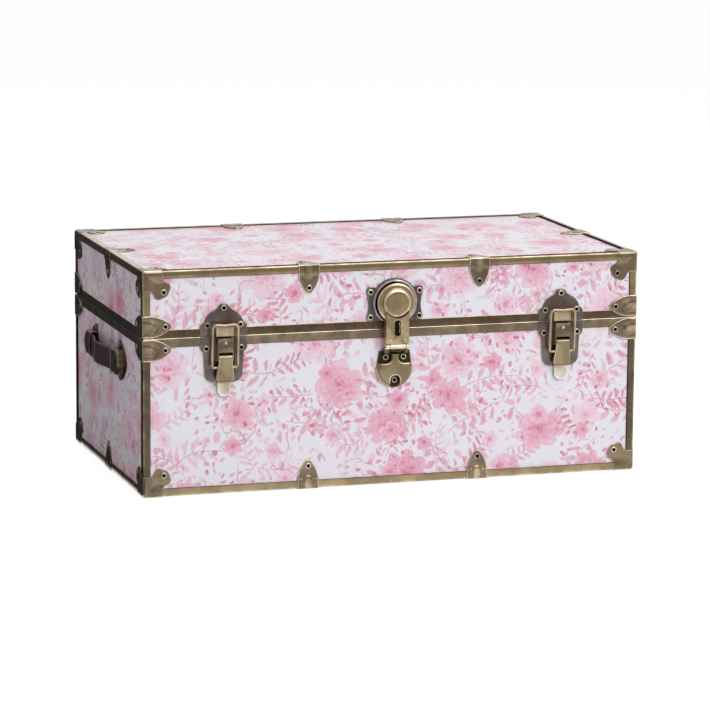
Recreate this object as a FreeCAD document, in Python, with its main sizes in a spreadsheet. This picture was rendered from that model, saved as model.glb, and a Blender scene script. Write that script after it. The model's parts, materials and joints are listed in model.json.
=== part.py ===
import FreeCAD, Part

import math
import operator
import os
from types import SimpleNamespace

import Sketcher
from FreeCAD import Placement, Rotation, Vector

# A covered dorm trunk with riveted brass hardware, in millimetres.
# X runs right along the front, Y towards the back and Z up; the origin is on the floor, under the middle.
# Each fitting is drawn flat against a wall: X across it, Z up it, and depth measured out along -Y.

# Driving sizes
SIZES = {
    # Box
    "trunk_width": 812.8,
    "trunk_depth": 457.2,
    "trunk_height": 355.6,
    "lid_height": 106.4,
    "split_gap": 0.4,
    "panel_thick": 9.0,
    "cover_thick": 0.8,
    "lining_thick": 0.6,
    # Formed metal edges
    "trim_thick": 2.4,
    "trim_flange": 10.3,
    "trim_corner_gap": 16.0,
    "rim_sheet": 1.0,
    "rim_swell": 0.8,
    "rim_inner_flange": 10.0,
    "base_rim_height": 14.5,
    "lid_rim_height": 12.5,
    "lip_height": 6.0,
    "lip_clearance": 0.5,
    "lip_back_gap": 40.0,
    # Corner caps
    "cap_proud": 3.6,
    "cap_leaf": 33.0,
    "cap_edge_radius": 3.0,
    "cap_band": 2.7,
    "cap_band_round": 1.5,
    "ear_thick": 1.8,
    "ear_dip_out": 33.7,
    "ear_dip_in": 15.4,
    "ear_shoulder_out": 40.3,
    "ear_shoulder_in": 18.6,
    "ear_tip_out": 43.4,
    "ear_tip_in": 24.3,
    "ear_flank_out": 42.0,
    "ear_flank_in": 28.0,
    "ear_nose_out": 39.6,
    "ear_nose_in": 33.5,
    "ear_nose_middle": 37.4,
    "cap_rivet": 31.2,
    # Clips and clamps
    "clip_over_trim": 0.8,
    "clip_step": 2.7,
    "clip_tip_thick": 1.8,
    "clamp_over_rim": 1.0,
    "clip_width": 34.4,
    "clip_reach": 43.6,
    "clip_straight": 13.0,
    "clip_tip_half": 5.2,
    "clip_tip_back": 3.2,
    "clip_rivet_reach": 33.6,
    "clip_bulge_rise": 0.3,
    "clip_bulge_width": 24.0,
    "clip_bulge_reach": 20.5,
    "clip_bulge_slope": 40.0,
    "clip_edge_radius": 1.6,
    "clamp_from_split": 18.3,
    "edge_clip_share": 0.17163,
    # Rivets
    "rivet_radius": 3.6,
    "rivet_crown": 2.6,
    "rivet_height": 1.6,
    # Draw bolts, heights measured from the split
    "bolt_from_end": 126.3,
    "bolt_plate_thick": 3.0,
    "bolt_plate_half": 37.4,
    "bolt_plate_gap": 0.6,
    "catch_side": 13.5,
    "catch_shoulder_x": 31.0,
    "catch_shoulder_z": 21.5,
    "catch_neck_x": 14.5,
    "catch_neck_z": 40.6,
    "catch_nose_half": 9.5,
    "catch_nose_z": 44.2,
    "catch_top": 50.4,
    "catch_rivet_x": 26.4,
    "catch_rivet_z": 17.4,
    "catch_top_rivet_z": 44.0,
    "keeper_width": 28.0,
    "keeper_top": 17.0,
    "keeper_depth": 11.0,
    "keeper_wall": 2.0,
    "latch_side": 15.0,
    "latch_waist_x": 32.0,
    "latch_waist_z": 24.5,
    "latch_foot_x": 30.2,
    "latch_foot_z": 58.0,
    "latch_toe_x": 16.0,
    "latch_bottom": 72.0,
    "latch_rivet_x": 28.0,
    "latch_rivet_z": 18.7,
    "bracket_width": 26.0,
    "bracket_sheet": 1.6,
    "bracket_depth": 15.0,
    "bracket_top": 2.8,
    "bracket_bottom": 24.0,
    "bracket_ear_reach": 6.0,
    "pin_depth": 12.0,
    "pin_drop": 32.4,
    "pin_radius": 2.0,
    "running_fit": 0.05,
    "lever_top_width": 21.0,
    "lever_foot_width": 27.0,
    "lever_barrel": 4.5,
    "lever_bottom": 70.0,
    "lever_foot_depth": 12.2,
    "lever_channel": 7.5,
    "lever_sheet": 1.6,
    "lever_wall": 1.5,
    "lever_notch": 2.5,
    "tab_width": 21.0,
    "tab_bottom": 94.0,
    "tab_depth": 4.4,
    "tab_sheet": 1.6,
    "tab_lap": 8.0,
    "bail_wire": 2.15,
    "bail_width": 45.0,
    "bail_height": 67.0,
    "bail_depth": 10.2,
    "bail_drop": 48.0,
    "bail_clearance": 0.45,
    "bail_top_bend": 7.0,
    "bail_foot_bend": 4.0,
    # Hasp, heights measured from the split, its round parts as drawn for one height of lid
    "hasp_lid_height": 106.4,
    "ring_plate_thick": 3.0,
    "ring_plate_bottom": 13.0,
    "ring_centre": 41.0,
    "ring_plate_arch": 38.0,
    "ring_arch_from": 39.5,
    "ring_outer": 36.0,
    "ring_inner": 32.0,
    "ring_rise": 6.0,
    "ring_ear_x": 46.4,
    "ring_waist_x": 42.8,
    "ring_rivet_x": 40.0,
    "ring_rivet_rise": 20.1,
    "ring_ear_half": 5.6,
    "hasp_width": 38.0,
    "hasp_sheet": 2.0,
    "hasp_depth": 19.0,
    "hasp_clearance": 0.4,
    "skirt_clearance": 1.6,
    "skirt_top_gap": 4.0,
    "hasp_skirt_bottom": 18.0,
    "hasp_face_bottom": 22.5,
    "slot_centre": 2.4,
    "slot_width": 10.0,
    "slot_height": 25.0,
    "head_radius": 30.0,
    "head_flange": 13.0,
    "head_disc_radius": 23.0,
    "head_disc_edge": 16.6,
    "head_crown": 18.0,
    "head_crown_flat": 5.0,
    "head_recess_radius": 20.0,
    "head_recess": 4.0,
    "hasp_axis_drop": 27.2,
    "hasp_axis_depth": 15.0,
    "hasp_barrel": 4.2,
    "hasp_pin_radius": 1.6,
    "hasp_knuckle_left": 11.7,
    "hasp_knuckle_right": 13.7,
    "knuckle_gap": 0.3,
    "shield_top": 36.0,
    "shield_bottom": 94.0,
    "shield_top_half": 25.0,
    "shield_half": 30.0,
    "shield_wide_z": 63.0,
    "shield_flange": 2.6,
    "shield_rise": 8.5,
    "shield_border": 1.8,
    "shield_well_radius": 8.6,
    "shield_rivet_x": 14.6,
    "shield_rivet_z": 45.6,
    "shield_low_rivet_z": 82.0,
    "shield_low_well": 7.2,
    "shield_arm_depth": 12.0,
    # Handles
    "handle_drop": 58.2,
    "handle_plate_thick": 2.4,
    "handle_mouth": 71.0,
    "handle_horn_x": 76.0,
    "handle_horn_z": 32.0,
    "handle_outer": 120.5,
    "handle_side_x": 104.5,
    "handle_side_z": 21.0,
    "hood_half": 20.0,
    "hood_straight": 98.0,
    "hood_outer": 112.0,
    "hood_height": 16.5,
    "hood_round": 6.0,
    "hood_wall": 2.1,
    "hood_side_wall": 3.1,
    "handle_rivet_x": 80.5,
    "handle_rivet_z": 24.8,
    "strap_thick": 4.6,
    "strap_side_clearance": 1.2,
    "strap_clearance": 0.3,
    "strap_bend_x": 70.0,
    "strap_bend_depth": 8.0,
    "strap_bow_depth": 20.0,
    "strap_end_x": 90.0,
    # Hinges
    "hinge_from_end": 162.8,
    "hinge_width": 60.0,
    "hinge_leaf_thick": 3.0,
    "hinge_leaf_reach": 44.0,
    "hinge_leaf_gap": 5.6,
    "hinge_corner": 6.0,
    "hinge_axis_depth": 6.6,
    "hinge_barrel": 4.2,
    "hinge_pin_radius": 2.0,
    "hinge_middle_half": 10.0,
    "hinge_web": 3.0,
    "hinge_rivet_x": 20.0,
    "hinge_rivet_z": 18.0,
    "hinge_low_rivet_z": 36.0,
}


class Dim:
    """A size that carries its number together with the sheet expression behind it."""

    SIGNS = {"+": operator.add, "-": operator.sub, "*": operator.mul, "/": operator.truediv}

    def __init__(self, number, text):
        self.number = float(number)
        self.text = text

    @staticmethod
    def of(value):
        return value if isinstance(value, Dim) else Dim(value, repr(value))

    def join(self, sign, other):
        other = Dim.of(other)
        number = Dim.SIGNS[sign](self.number, other.number)
        return Dim(number, f"({self.text} {sign} {other.text})")

    def __add__(self, other):
        return self.join("+", other)

    def __sub__(self, other):
        return self.join("-", other)

    def __mul__(self, other):
        return self.join("*", other)

    def __truediv__(self, other):
        return self.join("/", other)

    def __neg__(self):
        return Dim(-self.number, f"(-{self.text})")


def arctan(ratio):
    """The angle in degrees whose tangent is a ratio of two sizes."""
    return Dim(math.degrees(math.atan(ratio.number)), f"atan({ratio.text})")


def on_circle(radius, angle):
    """The point of a circle at an angle in degrees from its first axis."""
    turn = math.radians(angle.number)
    across = Dim(math.cos(turn), f"cos({angle.text})")
    along = Dim(math.sin(turn), f"sin({angle.text})")
    return radius * across, radius * along


# Share of a radius at which a quarter circle passes its middle
HALF_QUARTER = math.sqrt(0.5)
# Outer radius of a fold as a share of its sheet
FOLD_ROUND = 0.75
# Share of its rise that a crown has reached halfway in
CROWN_BOW = 0.75
RIGHT_ANGLE = 90
# Distance within which an edge counts as lying on a face
TOUCH = 1e-4


# Document and sheet
doc = FreeCAD.newDocument("dorm_trunk")
sheet = doc.addObject("Spreadsheet::Sheet", "Sizes")
for row, (alias, value) in enumerate(SIZES.items(), start=1):
    sheet.set(f"A{row}", alias)
    sheet.set(f"B{row}", str(value))
    sheet.setAlias(f"B{row}", alias)
doc.recompute()
S = SimpleNamespace(**{alias: Dim(value, f"Sizes.{alias}") for alias, value in SIZES.items()})
ZERO = Dim(0, "0")
sub_parts = []

# The hasp's round parts grow and shrink with the lid that they are riveted to
HASP_FITTED = [
    "ring_centre", "ring_plate_arch", "ring_outer", "ring_inner", "ring_ear_x", "ring_waist_x",
    "ring_rivet_x", "ring_rivet_rise", "hasp_width", "slot_centre", "slot_width", "slot_height",
    "head_radius", "head_disc_radius", "head_crown_flat", "head_recess_radius",
]
hasp_fit = S.lid_height / S.hasp_lid_height
for alias in HASP_FITTED:
    setattr(S, alias, getattr(S, alias) * hasp_fit)


# Turns that carry a corner fitting, drawn at the front left bottom corner, to the other corners
QUARTERS = [Rotation(Vector(0, 0, 1), 90 * turn) for turn in range(4)]
UPSIDE_DOWN = Rotation(Vector(1, 1, 0), 180)
CORNERS = ["front_left", "front_right", "back_right", "back_left"]


def bind(thing, **dims):
    """Tie each named property of an object to the sheet."""
    for name, dim in dims.items():
        thing.setExpression(name.replace("__", "."), Dim.of(dim).text)


def place(thing, x=ZERO, y=ZERO, z=ZERO, rotation=None):
    """Turn an object and tie its position to the sheet."""
    thing.Placement = Placement(Vector(), rotation or Rotation())
    bind(thing, Placement__Base__x=x, Placement__Base__y=y, Placement__Base__z=z)
    return thing


def keep(thing, label):
    """Name an object as a sub-part that gets a file of its own."""
    thing.Label = label
    sub_parts.append(thing)
    return thing


def new_body(label):
    return doc.addObject("PartDesign::Body", label)


def copy_of(master, label, x=ZERO, y=ZERO, z=ZERO, rotation=None):
    """A second instance of a sub-part at its own place."""
    link = doc.addObject("App::Link", label)
    link.LinkedObject = master
    link.LinkTransform = False
    return place(link, x, y, z, rotation)


def group(label, pieces):
    """Several separate solids that share one sub-part."""
    compound = doc.addObject("Part::Compound", label)
    compound.Links = pieces
    return compound


def block(label, low, high):
    """A plain rectangular board or sheet between two corners."""
    board = doc.addObject("Part::Box", label)
    bind(board, Length=high[0] - low[0], Width=high[1] - low[1], Height=high[2] - low[2])
    return place(board, *low)


def origin_plane(body, role):
    return next(plane for plane in body.Origin.OriginFeatures if plane.Role == role)


def outline(body, role, path, offset=ZERO):
    """A closed sketch of straight lines (x, y) and three-point arcs (through x, y, to x, y).

    The first entry is the starting point, reached again at the close, and every point is tied to the sheet.
    """
    sketch = body.newObject("Sketcher::SketchObject", f"{body.Name}_outline")
    sketch.AttachmentSupport = (origin_plane(body, role), [""])
    sketch.MapMode = "FlatFace"
    bind(sketch, AttachmentOffset__Base__z=offset)
    ends = [tuple(Dim.of(number) for number in step[-2:]) for step in path]
    vectors = [Vector(x.number, y.number, 0) for x, y in ends]
    steps = path[1:] + path[:1]
    marks = []
    shapes = []
    for index, step in enumerate(steps):
        start, stop = vectors[index], vectors[(index + 1) % len(vectors)]
        if len(step) == 4:
            through = tuple(Dim.of(number) for number in step[:2])
            middle = Vector(through[0].number, through[1].number, 0)
            shapes.append(Part.Arc(start, middle, stop))
            marks.append((index, through, middle))
        else:
            shapes.append(Part.LineSegment(start, stop))
    sketch.addGeometry(shapes, False)
    starts = []
    for index, start in enumerate(vectors):
        forward = sketch.getPoint(index, 1).distanceToPoint(start) < TOUCH
        starts.append((1, 2) if forward else (2, 1))
    rules = []
    ties = []

    def fix(geometry, position, x, y):
        ties.append((len(rules), x))
        rules.append(Sketcher.Constraint("DistanceX", -1, 1, geometry, position, x.number))
        ties.append((len(rules), y))
        rules.append(Sketcher.Constraint("DistanceY", -1, 1, geometry, position, y.number))

    for index, (x, y) in enumerate(ends):
        before = index - 1 if index else len(vectors) - 1
        rules.append(Sketcher.Constraint("Coincident", before, starts[before][1], index, starts[index][0]))
        fix(index, starts[index][0], x, y)
    for arc, through, middle in marks:
        point = sketch.addGeometry(Part.Point(middle), True)
        rules.append(Sketcher.Constraint("PointOnObject", point, 1, arc))
        fix(point, 1, *through)
    sketch.addConstraint(rules)
    for index, dim in ties:
        sketch.setExpression(f"Constraints[{index}]", dim.text)
    return sketch


def mirrored(half):
    """Complete a symmetric outline from its right half, listed from the bottom middle to the top middle."""
    left = []
    for index in range(len(half) - 1, 0, -1):
        points = half[index][:-2] + half[index - 1][-2:]
        left.append(tuple(-number if spot % 2 == 0 else number for spot, number in enumerate(points)))
    return left[-1:] + half[1:] + left[:-1]


def pad(body, role, path, start, end, inward=False, taper=ZERO):
    """Raise an outline between two depths, against the plane's normal if inward, with tapered sides."""
    sketch = outline(body, role, path, start)
    feature = body.newObject("PartDesign::Pad", f"{body.Name}_pad")
    feature.Profile = sketch
    feature.Reversed = inward
    bind(feature, Length=start - end if inward else end - start, TaperAngle=-taper)
    return feature


def pocket(body, role, path, start, end):
    """Cut an outline away between two depths."""
    sketch = outline(body, role, path, end)
    feature = body.newObject("PartDesign::Pocket", f"{body.Name}_pocket")
    feature.Profile = sketch
    bind(feature, Length=end - start)
    return feature


def add_box(body, low, high, kind="Additive"):
    """Add a rectangular block between two corners."""
    feature = body.newObject(f"PartDesign::{kind}Box", f"{body.Name}_block")
    bind(feature, Length=high[0] - low[0], Width=high[1] - low[1], Height=high[2] - low[2])
    return place(feature, *low)


def cut_box(body, low, high):
    """Cut a rectangular block away between two corners."""
    return add_box(body, low, high, "Subtractive")


AXES = {"x": Rotation(Vector(0, 1, 0), 90), "y": Rotation(Vector(1, 0, 0), -90), "z": Rotation()}


def add_round(body, axis, start, radius, length, kind="Additive"):
    """Add a cylinder from a point along an axis."""
    feature = body.newObject(f"PartDesign::{kind}Cylinder", f"{body.Name}_round")
    bind(feature, Radius=radius, Height=length)
    return place(feature, *start, AXES[axis])


def cut_round(body, axis, start, radius, length):
    """Cut a cylinder away from a point along an axis."""
    return add_round(body, axis, start, radius, length, "Subtractive")


def round_edges(body, wanted, radius):
    """Round the edges of the body so far whose middle passes a test."""
    doc.recompute()
    base = body.Tip
    names = [f"Edge{n}" for n, edge in enumerate(base.Shape.Edges, start=1) if wanted(edge)]
    feature = body.newObject("PartDesign::Fillet", f"{body.Name}_round_edge")
    feature.Base = (base, names)
    bind(feature, Radius=radius)
    return feature


# Places shared by many pieces
half_x = S.trunk_width / 2 - S.cap_proud
half_y = S.trunk_depth / 2 - S.cap_proud
split_z = S.trunk_height - S.lid_height
floor_z = S.cap_proud
roof_z = S.trunk_height - S.cap_proud
rim_edge = S.split_gap / 2
base_wall_top = split_z - rim_edge - S.rim_sheet
lid_wall_bottom = split_z + rim_edge + S.rim_sheet
wall = S.cover_thick + S.panel_thick
rim_proud = S.rim_sheet + S.rim_swell
ply_x = half_x - S.cover_thick
ply_y = half_y - S.cover_thick
room_x = half_x - wall
room_y = half_y - wall
base_rim_bottom = rim_edge + S.base_rim_height
lid_rim_top = rim_edge + S.lid_rim_height
clip_x = S.trunk_width * S.edge_clip_share
bolt_x = half_x - S.bolt_from_end
hinge_x = half_x - S.hinge_from_end
handle_z = split_z - S.handle_drop
hasp_back = S.ring_rise + S.hasp_clearance
hood_inside = S.hood_half - S.hood_side_wall


def make_panels():
    """Ten plywood boards: a floor or roof board with four walls standing on it."""
    floor_top = floor_z + wall
    roof_under = roof_z - wall
    levels = {
        "base": (floor_top, base_wall_top, "bottom", floor_z + S.cover_thick, floor_top),
        "lid": (lid_wall_bottom, roof_under, "top", roof_under, roof_z - S.cover_thick),
    }
    for shell, (low, high, board, under, over) in levels.items():
        flat = block(f"{shell}_{board}_board", (-ply_x, -ply_y, under), (ply_x, ply_y, over))
        keep(flat, f"{shell}_{board}_panel")
        front = block(f"{shell}_front_board", (-ply_x, -ply_y, low), (ply_x, -room_y, high))
        back = block(f"{shell}_back_board", (-ply_x, room_y, low), (ply_x, ply_y, high))
        left = block(f"{shell}_left_board", (-ply_x, -room_y, low), (-room_x, room_y, high))
        right = block(f"{shell}_right_board", (room_x, -room_y, low), (ply_x, room_y, high))
        for side, board_wall in zip(("front", "back", "left", "right"), (front, back, left, right)):
            keep(board_wall, f"{shell}_{side}_panel")


def make_sheets():
    """The printed covering outside and the paper lining inside, one group for each shell."""
    levels = {
        "base": (floor_z, base_wall_top, floor_z, floor_z + S.cover_thick),
        "lid": (lid_wall_bottom, roof_z, roof_z - S.cover_thick, roof_z),
    }
    for shell, (low, high, under, over) in levels.items():
        keep(group(f"{shell}_covering", [
            block(f"{shell}_front_sheet", (-half_x, -half_y, low), (half_x, -ply_y, high)),
            block(f"{shell}_back_sheet", (-half_x, ply_y, low), (half_x, half_y, high)),
            block(f"{shell}_left_sheet", (-half_x, -ply_y, low), (-ply_x, ply_y, high)),
            block(f"{shell}_right_sheet", (ply_x, -ply_y, low), (half_x, ply_y, high)),
            block(f"{shell}_flat_sheet", (-ply_x, -ply_y, under), (ply_x, ply_y, over)),
        ]), f"{shell}_covering")
    floor_top = floor_z + wall
    roof_under = roof_z - wall
    flange_low = split_z - rim_edge - S.rim_inner_flange
    flange_high = split_z + rim_edge + S.rim_inner_flange
    paper = S.lining_thick
    linings = {
        "base": (floor_top + paper, flange_low, floor_top, floor_top + paper),
        "lid": (flange_high, roof_under - paper, roof_under - paper, roof_under),
    }
    in_x = room_x - paper
    in_y = room_y - paper
    for shell, (low, high, under, over) in linings.items():
        keep(group(f"{shell}_lining", [
            block(f"{shell}_front_paper", (-room_x, -room_y, low), (room_x, -in_y, high)),
            block(f"{shell}_back_paper", (-room_x, in_y, low), (room_x, room_y, high)),
            block(f"{shell}_left_paper", (-room_x, -in_y, low), (-in_x, in_y, high)),
            block(f"{shell}_right_paper", (in_x, -in_y, low), (room_x, in_y, high)),
            block(f"{shell}_flat_paper", (-room_x, -room_y, under), (room_x, room_y, over)),
        ]), f"{shell}_lining")


def rail(label, half_length, inner_half, sign, height, lip_from=None, lip_to=None):
    """A rail formed over a wall's edge: swollen outer flange, web, inner flange and an optional lip."""
    body = new_body(label)
    edge = rim_edge * sign
    web = (rim_edge + S.rim_sheet) * sign
    outer = (rim_edge + height) * sign
    inner = (rim_edge + S.rim_inner_flange) * sign
    pad(body, "YZ_Plane", [
        (ZERO, outer),
        (-rim_proud, outer),
        (-S.rim_sheet, edge),
        (wall, edge),
        (wall, web),
        (ZERO, web),
    ], -half_length, half_length)
    low, high = (edge, inner) if sign > 0 else (inner, edge)
    add_box(body, (-inner_half, wall, low), (inner_half, wall + S.rim_sheet, high))
    if lip_from is not None:
        lip_out = wall + S.rim_sheet + S.lip_clearance
        lip_in = lip_out + S.rim_sheet
        add_box(body, (lip_from, wall + S.rim_sheet, web), (lip_to, lip_in, edge))
        add_box(body, (lip_from, lip_out, web), (lip_to, lip_in, S.lip_height + edge))
    return body


def make_rims():
    """Rails round the base and the lid; the base rails carry a dust lip on the front and the ends."""
    end_half = half_y - wall - S.rim_sheet - S.lip_clearance - S.rim_sheet
    lip_half = room_x - S.rim_sheet - S.lip_clearance
    z = split_z
    left, right, back = QUARTERS[3], QUARTERS[1], QUARTERS[2]
    base_front = rail("base_front_rail", half_x, room_x, -1, S.base_rim_height, -lip_half, lip_half)
    base_back = rail("base_back_rail", half_x, room_x, -1, S.base_rim_height)
    lip_end = end_half - S.lip_back_gap
    base_left = rail("base_left_rail", end_half, end_half, -1, S.base_rim_height, -lip_end, end_half)
    base_right = rail("base_right_rail", end_half, end_half, -1, S.base_rim_height, -end_half, lip_end)
    lid_long = rail("lid_long_rail", half_x, room_x, 1, S.lid_rim_height)
    lid_short = rail("lid_short_rail", end_half, end_half, 1, S.lid_rim_height)
    keep(group("base_rim", [
        place(base_front, ZERO, -half_y, z),
        place(base_back, ZERO, half_y, z, back),
        place(base_left, -half_x, ZERO, z, left),
        place(base_right, half_x, ZERO, z, right),
    ]), "base_rim")
    keep(group("lid_rim", [
        copy_of(lid_long, "lid_front_rail", ZERO, -half_y, z),
        copy_of(lid_long, "lid_back_rail", ZERO, half_y, z, back),
        copy_of(lid_short, "lid_left_rail", -half_x, ZERO, z, left),
        copy_of(lid_short, "lid_right_rail", half_x, ZERO, z, right),
    ]), "lid_rim")


def angle_trim(label, length):
    """An angle strip whose two flanges lie on the faces beside an edge along Z."""
    body = new_body(label)
    bend = S.trim_thick * HALF_QUARTER
    pad(body, "XY_Plane", [
        (S.trim_flange, -S.trim_thick),
        (S.trim_flange, ZERO),
        (ZERO, ZERO),
        (ZERO, S.trim_flange),
        (-S.trim_thick, S.trim_flange),
        (-S.trim_thick, ZERO),
        (-bend, -bend, ZERO, -S.trim_thick),
    ], ZERO, length)
    return body


FRONT_TOP = Rotation(Vector(0, 1, 0), 90)
FRONT_BOTTOM = Rotation(Vector(0, 1, 0), -90)
LEFT_TOP = Rotation(Vector(1, 0, 0), -90)
LEFT_BOTTOM = Rotation(Vector(1, 0, 0), 90)


def make_trims():
    """Angle strips along every edge, stopping short of each corner under its cap."""
    gap = S.trim_corner_gap
    end_x = half_x - gap
    end_y = half_y - gap
    base_top = split_z - base_rim_bottom
    lid_bottom = split_z + lid_rim_top
    long_strip = angle_trim("long_trim", end_x * 2)
    short_strip = angle_trim("short_trim", end_y * 2)
    base_post = angle_trim("base_post_trim", base_top - floor_z - gap)
    lid_post = angle_trim("lid_post_trim", roof_z - gap - lid_bottom)
    back = QUARTERS[2]
    keep(group("base_bottom_trims", [
        copy_of(long_strip, "bottom_front_trim", end_x, -half_y, floor_z, FRONT_BOTTOM),
        copy_of(long_strip, "bottom_back_trim", -end_x, half_y, floor_z, back * FRONT_BOTTOM),
        copy_of(short_strip, "bottom_left_trim", -half_x, end_y, floor_z, LEFT_BOTTOM),
        copy_of(short_strip, "bottom_right_trim", half_x, -end_y, floor_z, back * LEFT_BOTTOM),
    ]), "base_bottom_trims")
    keep(group("lid_top_trims", [
        copy_of(long_strip, "top_front_trim", -end_x, -half_y, roof_z, FRONT_TOP),
        copy_of(long_strip, "top_back_trim", end_x, half_y, roof_z, back * FRONT_TOP),
        copy_of(short_strip, "top_left_trim", -half_x, -end_y, roof_z, LEFT_TOP),
        copy_of(short_strip, "top_right_trim", half_x, end_y, roof_z, back * LEFT_TOP),
    ]), "lid_top_trims")
    for shell, post, foot in (("base", base_post, floor_z + gap), ("lid", lid_post, lid_bottom)):
        posts = [
            copy_of(post, f"{shell}_{corner}_trim", x, y, foot, turn)
            for corner, (x, y), turn in zip(CORNERS, corner_places(), QUARTERS)
        ]
        keep(group(f"{shell}_corner_trims", posts), f"{shell}_corner_trims")


def corner_places():
    return [(-half_x, -half_y), (half_x, -half_y), (half_x, half_y), (-half_x, half_y)]


def make_rivet():
    """The master rivet: a low crowned head whose axis points out along -Y."""
    rivet = doc.addObject("Part::Cone", "rivet")
    bind(rivet, Radius1=S.rivet_radius, Radius2=S.rivet_crown, Height=S.rivet_height)
    return rivet


FACING_FRONT = Rotation(Vector(1, 0, 0), 90)
FACING_LEFT = Rotation(Vector(0, 1, 0), -90)
FACING_DOWN = Rotation(Vector(1, 0, 0), 180)


def riveted(label, rivet, seats):
    """A set of rivets seated at (x, depth, z) on a fitting that faces the front."""
    heads = [
        copy_of(rivet, f"{label}_rivet", x, -depth, z, FACING_FRONT)
        for x, depth, z in seats
    ]
    return group(f"{label}_rivets", heads)


def corner_cap():
    """A pressed cap for the front left bottom corner: three leaves with rounded edges and lobed ears."""
    body = new_body("corner_cap")
    proud = S.cap_proud
    leaf = S.cap_leaf - proud
    add_box(body, (-proud, -proud, -proud), (leaf, leaf, leaf))

    def on_corner(edge):
        outside = -proud.number + TOUCH
        return sum(1 for value in edge.CenterOfMass if value < outside) == 2

    round_edges(body, on_corner, S.cap_edge_radius)
    band = S.trim_flange + S.cap_band
    outer = -proud
    level = -S.ear_thick
    cut_box(body, (band, outer, band), (leaf, level, leaf))
    cut_box(body, (outer, band, band), (level, leaf, leaf))
    cut_box(body, (band, band, outer), (leaf, leaf, level))

    def on_band(edge):
        spots = sorted(edge.CenterOfMass)
        on_face = abs(spots[0] + proud.number) < TOUCH
        return on_face and abs(spots[1] - band.number) < TOUCH and spots[2] > band.number + TOUCH

    round_edges(body, on_band, S.cap_band_round)
    root = S.trim_flange
    ear = [
        (root, root),
        (leaf, root),
        (S.ear_dip_out, S.ear_dip_in, S.ear_shoulder_out, S.ear_shoulder_in),
        (S.ear_tip_out, S.ear_tip_in, S.ear_flank_out, S.ear_flank_in),
        (S.ear_nose_out, S.ear_nose_in),
        (S.ear_nose_middle, S.ear_nose_middle, S.ear_nose_in, S.ear_nose_out),
        (S.ear_flank_in, S.ear_flank_out),
        (S.ear_tip_in, S.ear_tip_out, S.ear_shoulder_in, S.ear_shoulder_out),
        (S.ear_dip_in, S.ear_dip_out, root, leaf),
    ]
    pad(body, "XZ_Plane", ear, ZERO, S.ear_thick)
    for role in ("YZ_Plane", "XY_Plane"):
        pad(body, role, ear, level, ZERO)
    far = S.ear_tip_out * 2
    start = S.trim_corner_gap
    flange = S.trim_flange
    thick = -S.trim_thick
    cut_box(body, (ZERO, ZERO, ZERO), (far, far, far))
    cut_box(body, (start, thick, thick), (far, flange, flange))
    cut_box(body, (thick, start, thick), (flange, far, flange))
    cut_box(body, (thick, thick, start), (flange, flange, far))
    return body


def make_caps(rivet):
    """Eight corner caps, each with three rivets; returns the rivets of the base and of the lid."""
    cap = corner_cap()
    inset = S.cap_rivet
    seat = -S.ear_thick
    heads = group("cap_rivets", [
        copy_of(rivet, "cap_front_rivet", inset, seat, inset, FACING_FRONT),
        copy_of(rivet, "cap_side_rivet", seat, inset, inset, FACING_LEFT),
        copy_of(rivet, "cap_under_rivet", inset, inset, seat, FACING_DOWN),
    ])
    rivets = {"base": [], "lid": []}
    for corner, (x, y), turn in zip(CORNERS, corner_places(), QUARTERS):
        for shell, z, flip in (("base", floor_z, Rotation()), ("lid", roof_z, UPSIDE_DOWN)):
            label = f"{shell}_{corner}_cap"
            keep(copy_of(cap, label, x, y, z, turn * flip), label)
            rivets[shell].append(copy_of(heads, f"{label}_rivets", x, y, z, turn * flip))
    return rivets


def wrap_clip(label, tip_thick):
    """A bullet-shaped clip bent round an edge along Z, stepped down past the trim, with raised knuckles."""
    body = new_body(label)
    half = S.clip_width / 2
    thick = S.trim_thick + S.clip_over_trim
    step = S.trim_flange + S.clip_step
    bulge = thick + S.clip_bulge_rise
    bulge_half = S.clip_bulge_width / 2
    bulge_root = S.clip_bulge_reach - bulge_half
    tip = S.clip_reach - S.clip_tip_back
    side_x = (S.clip_straight + tip) / 2 + S.clip_tip_half / 4
    side_z = (half + S.clip_tip_half) / 2 + S.clip_tip_half / 3
    add_box(body, (-thick, -thick, -half), (step, step, half))

    def on_edge(edge):
        middle = edge.CenterOfMass
        outside = -thick.number + TOUCH
        return middle.x < outside and middle.y < outside

    round_edges(body, on_edge, S.clip_edge_radius)
    leg = [
        (ZERO, -half),
        (S.clip_straight, -half),
        (side_x, -side_z, tip, -S.clip_tip_half),
        (S.clip_reach, ZERO, tip, S.clip_tip_half),
        (side_x, side_z, S.clip_straight, half),
        (ZERO, half),
    ]
    knuckle = [
        (ZERO, -bulge_half),
        (bulge_root, -bulge_half),
        (S.clip_bulge_reach, ZERO, bulge_root, bulge_half),
        (ZERO, bulge_half),
    ]
    pad(body, "XZ_Plane", leg, ZERO, tip_thick)
    pad(body, "YZ_Plane", leg, -tip_thick, ZERO)
    pad(body, "XZ_Plane", knuckle, ZERO, bulge, taper=S.clip_bulge_slope)
    pad(body, "YZ_Plane", knuckle, ZERO, -bulge, inward=True, taper=S.clip_bulge_slope)
    under = -S.trim_thick
    flange = S.trim_flange
    cut_box(body, (under, under, -half), (flange, flange, half))
    cut_box(body, (ZERO, ZERO, -half), (step, step, half))
    return body


def rim_clamp():
    """The clip used beside the split, thick enough to pass over the rim."""
    body = wrap_clip("rim_clamp", rim_proud + S.clamp_over_rim)
    half = S.clip_width / 2
    rim_from = S.clamp_from_split - base_rim_bottom
    far = S.clip_reach
    cut_box(body, (ZERO, -rim_proud, rim_from), (far, ZERO, half))
    cut_box(body, (-rim_proud, ZERO, rim_from), (ZERO, far, half))
    return body


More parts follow.
